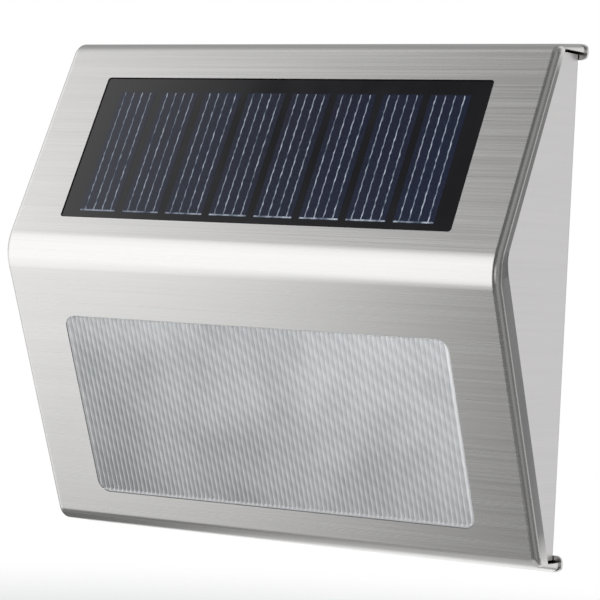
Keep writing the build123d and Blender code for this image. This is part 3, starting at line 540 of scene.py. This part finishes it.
# %% Plastic and board finishes
FINISHES = {
    "body_plastic": ((0.022, 0.022, 0.024), 0.48, ("inner_housing", "back_cover", "battery_door"), {}),
    "tray_plastic": ((0.82, 0.82, 0.80), 0.22, ("reflector_tray",), {}),
    "board_mask": ((0.025, 0.12, 0.05), 0.3, ("led_board", "control_board"), {"Coat_Weight": 0.5}),
    "chip_plastic": ((0.02, 0.02, 0.022), 0.5, ("driver_chip", "switch_knob"), {}),
    "ferrite": ((0.035, 0.034, 0.036), 0.42, ("inductor",), {}),
    "capacitor_sleeve": ((0.03, 0.045, 0.11), 0.25, ("capacitor",), {"Coat_Weight": 0.4}),
    "cell_sleeve": ((0.08, 0.27, 0.14), 0.24, ("battery_cell",), {"Coat_Weight": 0.5}),
    "lamp_resin": ((0.86, 0.82, 0.62), 0.12, ("leds",), {"Coat_Weight": 0.6}),
}
for label, (colour, roughness, wearers, sockets) in FINISHES.items():
    finish = moulded(label, colour, roughness, **sockets)
    for name in wearers:
        dress(nodes[name], finish)
print("finishes:", len(bpy.data.materials))


# %% [markdown]
# ## Helpers for new pieces
# Every new surface is a grid of points from two parameters. The grid becomes a mesh in one call, and
# closed grids join their last row or column to the first.

# %% Grid to mesh
def grid_faces(rows, columns, wrap_rows=False, wrap_columns=False):
    """Quads of a grid of rows x columns points, as an array of vertex numbers."""
    r = np.arange(rows if wrap_rows else rows - 1)
    c = np.arange(columns if wrap_columns else columns - 1)
    i, j = np.meshgrid(r, c, indexing="ij")
    n, m = (i + 1) % rows, (j + 1) % columns
    return np.stack([i * columns + j, i * columns + m, n * columns + m, n * columns + j], -1).reshape(-1, 4)


def add_piece(name, blocks, body="light_body", smooth=True, sharp=40.0):
    """Joins (points, faces) blocks into one object that rides on a body; faces may be of any length."""
    points, faces, start = [], [], 0
    for block_points, block_faces in blocks:
        block_points = np.asarray(block_points, float).reshape(-1, 3)
        points.append(block_points)
        faces += [[start + int(k) for k in face] for face in block_faces]
        start += len(block_points)
    mesh = bpy.data.meshes.new(name)
    mesh.from_pydata(np.concatenate(points).tolist(), [], faces)
    mesh.update()
    if smooth:
        mesh.shade_smooth()
        mesh.set_sharp_from_angle(angle=math.radians(sharp))
    piece = bpy.data.objects.new(name, mesh)
    bpy.context.scene.collection.objects.link(piece)
    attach(piece, body)
    print(name, "points:", len(mesh.vertices), "faces:", len(mesh.polygons))
    return piece


def corner_map(piece, name, values):
    """A UV map from a (points x 2) array: each face corner gets its point's pair."""
    uv = piece.data.uv_layers.new(name=name)
    corners = np.empty(len(piece.data.loops), dtype=int)
    piece.data.loops.foreach_get("vertex_index", corners)
    uv.data.foreach_set("uv", values[corners].ravel())


# %% Frames of the two slopes
# The upper slope runs from the apex up to the crown fold, and the lower one down to the foot fold.
APEX_REACH, APEX_Z = 36.0, -24.4
CROWN_RUN = np.array([0.0, 23.2, 46.4])
FOOT_RUN = np.array([0.0, 25.6, -59.6])
APEX = np.array([0.0, -APEX_REACH, APEX_Z]) * MM
UPPER = CROWN_RUN / np.linalg.norm(CROWN_RUN)
LOWER = FOOT_RUN / np.linalg.norm(FOOT_RUN)
UPPER_IN = np.array([0.0, UPPER[2], -UPPER[1]])
LOWER_IN = np.array([0.0, -LOWER[2], LOWER[1]])


def on_slope(x, along, depth, run, inward):
    """Points on a slope: apex + run * along + inward * depth, set at x; all arrays in millimetres."""
    x, along, depth = np.broadcast_arrays(x, along, depth)
    place = APEX + (along[..., None] * run + depth[..., None] * inward) * MM
    return place + x[..., None] * MM * np.array([1.0, 0.0, 0.0])


# %% [markdown]
# ## Front sheet
# On the real light the side edges are folded back but spring open a little, so each hem stands a few
# degrees out and shows a darker strip beside the cheek. The CAD sheet has square hems. Modelling the
# sheet anew would risk its folds and openings, so a merged copy of the solid is taken, and only the
# points of the hems move outwards, in step with their depth below the slopes.

# %% Merged copy of the sheet
source = nodes["front_cover"].data
raw = np.empty(len(source.vertices) * 3)
source.vertices.foreach_get("co", raw)
sheet, number = np.unique(np.round(raw.reshape(-1, 3), 7), axis=0, return_inverse=True)
number = number.reshape(-1)
sheet_faces = []
for polygon in source.polygons:
    corners = [int(number[v]) for v in polygon.vertices]
    if len(set(corners)) == len(corners):
        sheet_faces.append(corners)
print("sheet points:", len(raw) // 3, "merged:", len(sheet))

# %% Front sheet with sprung hems
HEM_LEAN = 0.13
HEM_START, HEM_END = 1.4, 4.2
EDGE_X, WALL_Y = 59.0, -3.0
FOOT_FOLD_Z, CROWN_FOLD_Z = -82.3, 20.3
UPPER_CUT, LOWER_CUT = 2.6, 4.1
ROLL_START, ROLL_SHARE = 0.02, 0.04

below_upper = (sheet - APEX) / MM @ UPPER_IN
below_lower = (sheet - APEX) / MM @ LOWER_IN
depth = np.minimum(below_upper, below_lower)
between_folds = (sheet[:, 2] > FOOT_FOLD_Z * MM) & (sheet[:, 2] < CROWN_FOLD_Z * MM)
on_edge = (np.abs(sheet[:, 0]) > EDGE_X * MM) & (sheet[:, 1] < WALL_Y * MM) & between_folds
lean = HEM_LEAN * np.clip(depth - HEM_START, 0, HEM_END - HEM_START) * MM
sheet[:, 0] += np.where(on_edge, np.sign(sheet[:, 0]) * lean, 0)
front_sheet = add_piece("front_sheet", [(sheet, sheet_faces)], sharp=50.0)
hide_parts("front_cover")
dress(front_sheet, front_steel)
settle = front_sheet.modifiers.new("flat_faces_first", "WEIGHTED_NORMAL")
settle.keep_sharp = True
print("hems lean out by", round(float(lean.max() / MM), 2), "mm")

# %% Map of the painted hem shade: 0 on the slopes, a little on the rolled edge and 1 at the cut
on_cut = (below_upper > UPPER_CUT) & (below_lower > LOWER_CUT) & on_edge
on_roll = (depth > ROLL_START) & on_edge
roll = np.where(on_roll, ROLL_SHARE * np.clip(depth / HEM_START, 0, 1), 0.0)
hem_share = np.maximum(roll, on_cut * 1.0)
corner_map(front_sheet, "hem", np.stack([hem_share, np.zeros(len(sheet))], 1))


# %% [markdown]
# ## Solar panel
# The panel is black glass-like resin over eight narrow cells. Each cell carries four silver fingers
# that are printed as fine broken lines, and one bus bar at its foot. The fingers could be painted on
# by the material, but as thin ribbons with a small thickness they stay sharp from every side.

# %% Panel resin and cells
resin = moulded("panel_resin", (0.002, 0.002, 0.003), 0.06, 1e-6, 900.0, 0.2, IOR=1.6)
dress(nodes["panel_board"], resin)

silicon, tree, shader = new_finish("cell_silicon", (0.004, 0.006, 0.014), 0.10, IOR=1.57)
patches = noise(tree, scaled_position(tree, (90.0, 30.0, 30.0)), 1.0)
specks = noise(tree, scaled_position(tree), 2600.0, 1.0)
tint = mix_colour(tree, spread(tree, patches, 0.0, 1.0), (0.002, 0.004, 0.012), (0.004, 0.004, 0.012))
tint = mix_colour(tree, spread(tree, specks, 0.0, 0.55), tint, (0.006, 0.010, 0.023))
tree.links.new(tint, shader.inputs["Base Color"])
tree.links.new(spread(tree, specks, 0.08, 0.13), shader.inputs["Roughness"])
dress(nodes["solar_cells"], silicon)

# %% Sizes of the silver print, in millimetres
CELL_COUNT, CELL_PITCH, CELL_WIDTH, CELL_HEIGHT = 8, 11.02875, 9.29875, 29.7968
PANEL_ALONG, CELL_DROP, CELL_DEPTH = 25.7984, 0.9, 0.22
FINGER_COUNT, FINGER_PITCH, FINGER_STEPS, FINGER_RISE = 4, 2.1996, 90, 0.03
FINGER_WIDTH, BEAD_SWELL, BEAD_PITCH = 0.24, 0.06, 1.55
FINGER_SWING, SWING_PITCH = 0.05, 2.7
FINGER_FOOT_GAP, FINGER_TOP_GAP = 0.3, 0.2
BAR_START, BAR_END, BAR_INSET = 0.05, 0.4, 0.15


def ribbon(x, width, along):
    """A closed flat bar: four corner lines carried along the slope, with a face on each end."""
    top, bottom = CELL_DEPTH - FINGER_RISE, CELL_DEPTH
    left, right_side = x - width / 2, x + width / 2
    lines = [(left, bottom), (right_side, bottom), (right_side, top), (left, top)]
    points = [on_slope(edge, along, np.full_like(along, d), UPPER, UPPER_IN) for edge, d in lines]
    last = 4 * len(along) - 1
    ends = [[0, 1, 2, 3], [last, last - 1, last - 2, last - 3]]
    return np.stack(points, 1), [*grid_faces(len(along), 4, wrap_columns=True), *ends]


# %% Silver fingers and bus bars
# A finger's middle swings as a sine along its length, and its width swells almost twice as often.
rng = np.random.default_rng(5)
cell_foot = PANEL_ALONG - CELL_DROP - CELL_HEIGHT / 2
along = np.linspace(cell_foot + FINGER_FOOT_GAP, cell_foot + CELL_HEIGHT - FINGER_TOP_GAP, FINGER_STEPS)
bars = []
for cell in range(CELL_COUNT):
    cell_x = (cell - (CELL_COUNT - 1) / 2) * CELL_PITCH
    for finger in range(FINGER_COUNT):
        phase = rng.uniform(0, 2 * math.pi)
        swing = FINGER_SWING * np.sin(2 * math.pi * along / SWING_PITCH + phase)
        width = FINGER_WIDTH + BEAD_SWELL * np.sin(2 * math.pi * along / BEAD_PITCH + 2 * phase)
        finger_x = cell_x + (finger - (FINGER_COUNT - 1) / 2) * FINGER_PITCH
        bars.append(ribbon(finger_x + swing, width, along))
    bar_along = cell_foot + np.array([BAR_START, BAR_END])
    bars.append(ribbon(np.full(2, cell_x), np.full(2, CELL_WIDTH - BAR_INSET), bar_along))
silver_print = add_piece("silver_print", bars, smooth=False)
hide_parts("cell_grid_lines")

silver_ink, tree, shader = new_finish("silver_ink", (0.16, 0.18, 0.21), 0.55)
dashes = noise(tree, scaled_position(tree, (700.0, 500.0, 500.0)), 1.0, 1.0)
ink = mix_colour(tree, spread(tree, dashes, 0.0, 1.0), (0.02, 0.03, 0.05), (0.20, 0.225, 0.265))
tree.links.new(ink, shader.inputs["Base Color"])
dress(silver_print, silver_ink)


# %% [markdown]
# ## Window
# The window is one clear moulding: a row of upright ribs with a plain rounded border, standing on a
# flange that lies behind the sheet. The ribs of the real one glint in short strokes, because their
# crests rise and fall a little along their length and the rise is shifted from rib to rib. A bump map
# could draw the ribs, but their outline at the border and the glints need real relief, so the face is
# one fine grid whose depth is a formula. The glints come partly from that relief and partly from
# painted highlight in the plastic's colour.

# %% Sizes of the window, in millimetres
LENS_WIDTH, LENS_HEIGHT, LENS_CORNER = 93.96, 42.16, 2.78
WINDOW_ALONG, LENS_FRONT, LENS_BACK = 36.1977, 1.3, 2.7
RIB_PITCH, RIB_COUNT, RIB_STEPS = 1.1, 83, 8
RIB_TOP, RIB_FLOOR, RIB_ROUNDNESS = 0.16, 0.50, 0.8
WAVE, WAVE_LENGTH, WAVE_SHIFT = 0.013, 3.6, 0.29
BORDER_DEPTH, BORDER_BLEND, EDGE_ROUNDING = 0.12, 0.25, 0.12
BORDER_RIGHT, BORDER_FOOT, BORDER_LEFT, BORDER_TOP = 0.55, 0.45, 0.15, 0.1
OPENING_WIDTH, OPENING_HEIGHT = 94.0, 42.195
FLANGE, FLANGE_CORNER, FLANGE_BEVEL = 3.0, 4.0, 0.25


def rounded_loop(width, height, corner, count=12):
    """Corner points of a rounded rectangle: four quarter turns of equal step, centred on zero."""
    turns = np.linspace(0, math.pi / 2, count)
    quarters = []
    for k, (sx, sy) in enumerate(((1, 1), (-1, 1), (-1, -1), (1, -1))):
        angle = turns + k * math.pi / 2
        x = sx * (width / 2 - corner) + corner * np.cos(angle)
        y = sy * (height / 2 - corner) + corner * np.sin(angle)
        quarters.append(np.stack([x, y], 1))
    return np.concatenate(quarters)


# %% Grid over the window's face
# Lines stand close together where the ribs and the rounded edges need them, and the sides of the grid
# are drawn in at the corners so that its outline is a rounded rectangle.
SIDE_STEPS = np.array([0.25, 0.5, 0.7, 0.82, 0.92, 0.98, 1.0])
EDGE_STEPS = np.array([1.15, 1.0, 0.8, 0.6, 0.45, 0.3, 0.18, 0.08, 0.0])
INNER_MARGIN, INNER_ROWS = 1.3, 84
half_width, half_height = LENS_WIDTH / 2, LENS_HEIGHT / 2
half_ribs = RIB_COUNT * RIB_PITCH / 2
rib_x = np.linspace(-half_ribs, half_ribs, RIB_COUNT * RIB_STEPS + 1)
margin_x = SIDE_STEPS * (half_width - half_ribs)
lens_x = np.concatenate([-half_ribs - margin_x[::-1], rib_x, half_ribs + margin_x])
inner_y = np.linspace(-half_height + INNER_MARGIN, half_height - INNER_MARGIN, INNER_ROWS)
edge_y = half_height - EDGE_STEPS
lens_y = np.concatenate([-edge_y[::-1], inner_y, edge_y])
grid_x, grid_y = np.meshgrid(lens_x, lens_y)
past_corner = np.clip(np.abs(grid_y) - (half_height - LENS_CORNER), 0, LENS_CORNER)
reach = half_width - LENS_CORNER + np.sqrt(np.clip(LENS_CORNER**2 - past_corner**2, 0, None))
grid_x = np.clip(grid_x, -reach, reach)
print("window grid:", grid_x.shape)

# %% Depth of the window's face
# A rib is a rounded arch: the sine of its phase to a power under one. Its crest follows a wave that
# climbs from one rib to the next. The border is a flat band, blended in over a short stretch, and the
# outermost edge falls back as a quarter circle.
rib_turn = grid_x / RIB_PITCH + RIB_COUNT / 2
arch = np.abs(np.sin(math.pi * (rib_turn % 1.0))) ** RIB_ROUNDNESS
wave = np.sin(2 * math.pi * (grid_y / WAVE_LENGTH + np.floor(rib_turn) * WAVE_SHIFT)) - 1
ribbed = RIB_FLOOR - (RIB_FLOOR - RIB_TOP) * arch - WAVE * wave * arch
to_left, to_right = reach + grid_x, reach - grid_x
to_top, to_foot = half_height - grid_y, half_height + grid_y
edge_gap = np.minimum(np.minimum(to_left, to_right), np.minimum(to_top, to_foot))
past_sides = np.minimum(to_left - BORDER_LEFT, to_right - BORDER_RIGHT)
past_ends = np.minimum(to_top - BORDER_TOP, to_foot - BORDER_FOOT)
border = 1 - np.clip(np.minimum(past_sides, past_ends) / BORDER_BLEND, 0, 1)
border = border * border * (3 - 2 * border)
in_rounding = np.clip(1 - edge_gap / EDGE_ROUNDING, 0, 1)
rounding = EDGE_ROUNDING * (1 - np.sqrt(np.clip(1 - in_rounding**2, 0, 1)))
face_depth = ribbed * (1 - border) + BORDER_DEPTH * border + rounding

# %% Closed face block: the face, a skirt down to the flange and a back
SKIRT_LAP = 0.02
face = on_slope(grid_x, WINDOW_ALONG - grid_y, face_depth, LOWER, LOWER_IN).reshape(-1, 3)
rows, columns = grid_x.shape
numbers = np.arange(rows * columns).reshape(rows, columns)
outline = np.concatenate([numbers[0, :-1], numbers[:-1, -1], numbers[-1, :0:-1], numbers[:0:-1, 0]])
outline_depth = (face[outline] - APEX) @ LOWER_IN / MM
skirt = face[outline] + np.outer(LENS_FRONT + SKIRT_LAP - outline_depth, LOWER_IN) * MM
count = len(outline)
low = len(face) + np.arange(count)
wall = np.stack([outline, low, np.roll(low, -1), np.roll(outline, -1)], 1)
face_block = (np.concatenate([face, skirt]), [*grid_faces(rows, columns)[:, ::-1], *wall, low[::-1]])


# %% Flange and the finished window
def loft(loops, depths, along, run, inward):
    """Closed body through loops of equal count at the given depths, with both ends capped."""
    rings = [
        on_slope(loop[:, 0], along - loop[:, 1], np.full(len(loop), d), run, inward)
        for loop, d in zip(loops, depths)
    ]
    around = len(rings[0])
    last_ring = (len(rings) - 1) * around
    caps = [list(range(around)), [last_ring + k for k in range(around)][::-1]]
    return np.stack(rings), [*grid_faces(len(rings), around, wrap_columns=True)[:, ::-1], *caps]


flange_loops = []
for bevel in (FLANGE_BEVEL, 0.0, 0.0, FLANGE_BEVEL):
    past_opening = 2 * (FLANGE - bevel)
    width, height = OPENING_WIDTH + past_opening, OPENING_HEIGHT + past_opening
    flange_loops.append(rounded_loop(width, height, FLANGE_CORNER - bevel))
flange_depths = (LENS_FRONT, LENS_FRONT + FLANGE_BEVEL, LENS_BACK - FLANGE_BEVEL, LENS_BACK)
flange_block = loft(flange_loops, flange_depths, WINDOW_ALONG, LOWER, LOWER_IN)
ribbed_window = add_piece("ribbed_window", [face_block, flange_block], sharp=50.0)
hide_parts("window_lens")

# %% [markdown]
# ### Window plastic
# The plastic is clear but the ribs break up what lies behind, so from a step away it looks milky grey.
# Full transmission would cost a great deal of render time for the same look. A quarter of it, over a
# grey base, comes close. The base carries painted glints that follow the waves of the ribs, and painted
# shade that darkens it towards the foot.

# %% Window plastic
WINDOW_GREYS = ((0.37, 0.38, 0.39), (0.50, 0.51, 0.52))
# Strength of the painted glints in the window's colour
PAINTED_GLINT_SHARE = 0.09
# Painted shade towards the foot: (low z, high z, factor at low z, factor at high z)
WINDOW_PAINTED_SHADE = (-0.080, -0.036, 0.62, 0.92)

grain_uv = np.zeros((len(ribbed_window.data.vertices), 2))
grain_uv[: len(face), 0] = border.ravel()
grain_uv[: len(face), 1] = (grid_y / WAVE_LENGTH + (rib_turn - 0.5) * WAVE_SHIFT).ravel()
corner_map(ribbed_window, "grain", grain_uv)

window_plastic, tree, shader = new_finish(
    "window_plastic",
    (0.52, 0.53, 0.54),
    0.22,
    Transmission_Weight=0.25,
    IOR=1.49,
    Coat_Weight=0.3,
    Coat_Roughness=0.1,
)
grain = tree.nodes.new("ShaderNodeUVMap")
grain.uv_map = "grain"
parts = tree.nodes.new("ShaderNodeSeparateXYZ")
tree.links.new(grain.outputs[0], parts.inputs[0])
# Painted glints: the colour swings between two greys with the waves of the rib crests, over random clouds
painted_glint = value_node(tree, "SINE", value_node(tree, "MULTIPLY", parts.outputs["Y"], 2 * math.pi))
clouds = noise(tree, scaled_position(tree, (60.0, 60.0, 60.0)), 1.0)
painted_glint = value_node(tree, "MULTIPLY_ADD", painted_glint, PAINTED_GLINT_SHARE, clouds)
ribs = mix_colour(tree, spread(tree, painted_glint, 0.0, 1.0), *WINDOW_GREYS)
bordered = mix_colour(tree, parts.outputs["X"], ribs, WINDOW_GREYS[1])
# Painted shade: the colour darkens towards the foot of the window
window_painted_foot_shade = mix_colour(tree, 1.0, bordered, height_ramp(tree, *WINDOW_PAINTED_SHADE), "MULTIPLY")
tree.links.new(window_painted_foot_shade, shader.inputs["Base Color"])
dress(ribbed_window, window_plastic)


# %% [markdown]
# ## Foam seals
# Die-cut foam is soft: its cut edges bulge and its skin is full of fine pores. A bevel on the CAD ring
# would look hard, so each seal is a closed ring whose section is a bulged strip, carried round a
# rounded rectangle. The section is a superellipse: a circle's sine and cosine to a power under one.

# %% Foam rings
SECTION_POINTS, SECTION_POWER = 20, 0.4
AXIS_Z = -16.0
foam = moulded("seal_foam", (0.03, 0.03, 0.032), 0.9, 6e-5, 1500.0, 0.3)


def bulged(values):
    """A circle's coordinate from -1 to 1, made squarer and brought to 0 to 1."""
    return 0.5 + 0.5 * np.sign(values) * np.abs(values) ** SECTION_POWER


def foam_ring(name, node, inner, outer, near, far, place):
    """A ring between two rounded loops; its section is a bulged strip from depth near to far."""
    angles = np.linspace(0, 2 * math.pi, SECTION_POINTS, endpoint=False)
    across, deep = bulged(np.cos(angles)), bulged(np.sin(angles))
    loops = inner[None] * (1 - across[:, None, None]) + outer[None] * across[:, None, None]
    levels = (near + (far - near) * deep)[:, None] * np.ones(len(inner))
    points = place(loops[..., 0], loops[..., 1], levels)
    ring = add_piece(name, [(points, grid_faces(*loops.shape[:2], True, True)[:, ::-1])])
    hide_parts(node)
    dress(ring, foam)


def on_lower(x, y, depth):
    """Points round the window's centre on the lower slope."""
    return on_slope(x, WINDOW_ALONG - y, depth, LOWER, LOWER_IN)


def on_upper(x, y, depth):
    """Points round the panel's centre on the upper slope."""
    return on_slope(x, PANEL_ALONG + y, depth, UPPER, UPPER_IN)


def at_door(x, z, depth):
    """Points round the battery's axis, at a depth in front of the wall."""
    return np.stack(np.broadcast_arrays(x, -depth, z + AXIS_Z), -1) * MM


# Each pair is the inner and the outer loop: width, height and corner radius in millimetres.
window_loops = (rounded_loop(94.1, 42.3, 2.85), rounded_loop(99.9, 48.1, 4))
panel_loops = (rounded_loop(95.15, 34.75, 0.2), rounded_loop(101.3, 40.9, 0.2))
door_loops = (rounded_loop(51.1, 11.4, 0.3), rounded_loop(53.9, 14.2, 0.3))
foam_ring("window_foam", "lens_gasket", *window_loops, 0.72, 1.28, on_lower)
foam_ring("panel_foam", "panel_seal", *panel_loops, 0.72, 2.03, on_upper)
foam_ring("door_foam", "door_seal", *door_loops, 2.12, 2.68, at_door)

# %% [markdown]
# ## Contact spring
# The spring behind the cell is a helix of round wire whose first and last turns lie flat. A Screw
# modifier gives one pitch only, so the helix is computed: the climb stands still at both ends and runs
# as a smooth step between them, and a ring of points is carried along it.

# %% Contact spring
SPRING_RADIUS, SPRING_WIRE, SPRING_TURNS = 2.6, 0.6, 5.0
SPRING_FROM, SPRING_TO, AXIS_DEPTH = 19.8, 24.75, 8.3
FLAT_SHARE = 0.14
SPRING_STEPS, WIRE_POINTS = 241, 12

share = np.linspace(0, 1, SPRING_STEPS)
turn_angle = 2 * math.pi * SPRING_TURNS * share
climb = np.clip((share - FLAT_SHARE) / (1 - 2 * FLAT_SHARE), 0, 1)
climb = climb * climb * (3 - 2 * climb)
outward = np.stack([np.zeros(SPRING_STEPS), np.cos(turn_angle), np.sin(turn_angle)], 1)
centres = np.array([0.0, -AXIS_DEPTH, AXIS_Z]) + SPRING_RADIUS * outward
centres[:, 0] = SPRING_FROM + (SPRING_TO - SPRING_FROM) * climb
ring_angle = np.linspace(0, 2 * math.pi, WIRE_POINTS, endpoint=False)[None, :, None]
section = outward[:, None] * np.cos(ring_angle) + np.array([1.0, 0, 0]) * np.sin(ring_angle)
coil = (centres[:, None] + section * SPRING_WIRE / 2) * MM
first_end = list(range(WIRE_POINTS))[::-1]
last_end = list(range((SPRING_STEPS - 1) * WIRE_POINTS, SPRING_STEPS * WIRE_POINTS))
coil_faces = [*grid_faces(SPRING_STEPS, WIRE_POINTS, wrap_columns=True), first_end, last_end]
coil_spring = add_piece("coil_spring", [(coil, coil_faces)], sharp=60.0)
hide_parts("contact_spring")
dress(coil_spring, nickel)

# %% [markdown]
# ## Wires
# Each pair of wires is soft and takes its corners in a curve. A NURBS curve through the corner points
# of the CAD route does that by itself, and its bevel gives it a round section. It is made a mesh at
# once, because a piece must be one.

# %% Wires
WIRE_RADIUS = 0.6
BOARD_PAD = [(-14.5, -2.5), (-9.4, -2.5)]
PANEL_ROUTE = [(-25.85, -9.35), (-20.93, -11.81), *BOARD_PAD]
LED_ROUTE = [(-22.90, -32.60), (-26.45, -24.33), *BOARD_PAD]
BATTERY_ROUTE = [(-15.95, -14.75), (-15.95, -7.05), (-13.0, -2.5), (-9.4, -2.5)]
WIRES = {
    "panel_wires": (PANEL_ROUTE, (-3.0, 3.0)),
    "led_wires": (LED_ROUTE, (-19.0, -16.5)),
    "battery_wires": (BATTERY_ROUTE, (-25.3, 25.3)),
}
JACKETS = {
    "black": moulded("jacket_black", (0.02, 0.02, 0.02), 0.45, 4e-6, 1800.0, 0.1),
    "red": moulded("jacket_red", (0.42, 0.02, 0.015), 0.45, 4e-6, 1800.0, 0.1),
}


def wire_mesh(route, x):
    """A round wire along a route of (y, z) points in millimetres, at one x."""
    curve = bpy.data.curves.new("route", "CURVE")
    curve.dimensions = "3D"
    curve.bevel_depth = WIRE_RADIUS * MM
    curve.bevel_resolution = 3
    curve.resolution_u = 12
    curve.use_fill_caps = True
    spline = curve.splines.new("NURBS")
    spline.points.add(len(route) - 1)
    for point, (y, z) in zip(spline.points, route):
        point.co = (x * MM, y * MM, z * MM, 1)
    spline.order_u = 3
    spline.use_endpoint_u = True
    tube = bpy.data.objects.new("route", curve)
    bpy.context.scene.collection.objects.link(tube)
    bpy.context.view_layer.update()
    graph = bpy.context.evaluated_depsgraph_get()
    mesh = bpy.data.meshes.new_from_object(tube.evaluated_get(graph))
    bpy.data.objects.remove(tube)
    mesh.shade_smooth()
    return mesh


for node_name, (route, places) in WIRES.items():
    for (colour, jacket), x in zip(JACKETS.items(), places):
        strand = bpy.data.objects.new(f"{node_name}_{colour}", wire_mesh(route, x))
        bpy.context.scene.collection.objects.link(strand)
        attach(strand, "light_body")
        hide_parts(node_name)
        dress(strand, jacket)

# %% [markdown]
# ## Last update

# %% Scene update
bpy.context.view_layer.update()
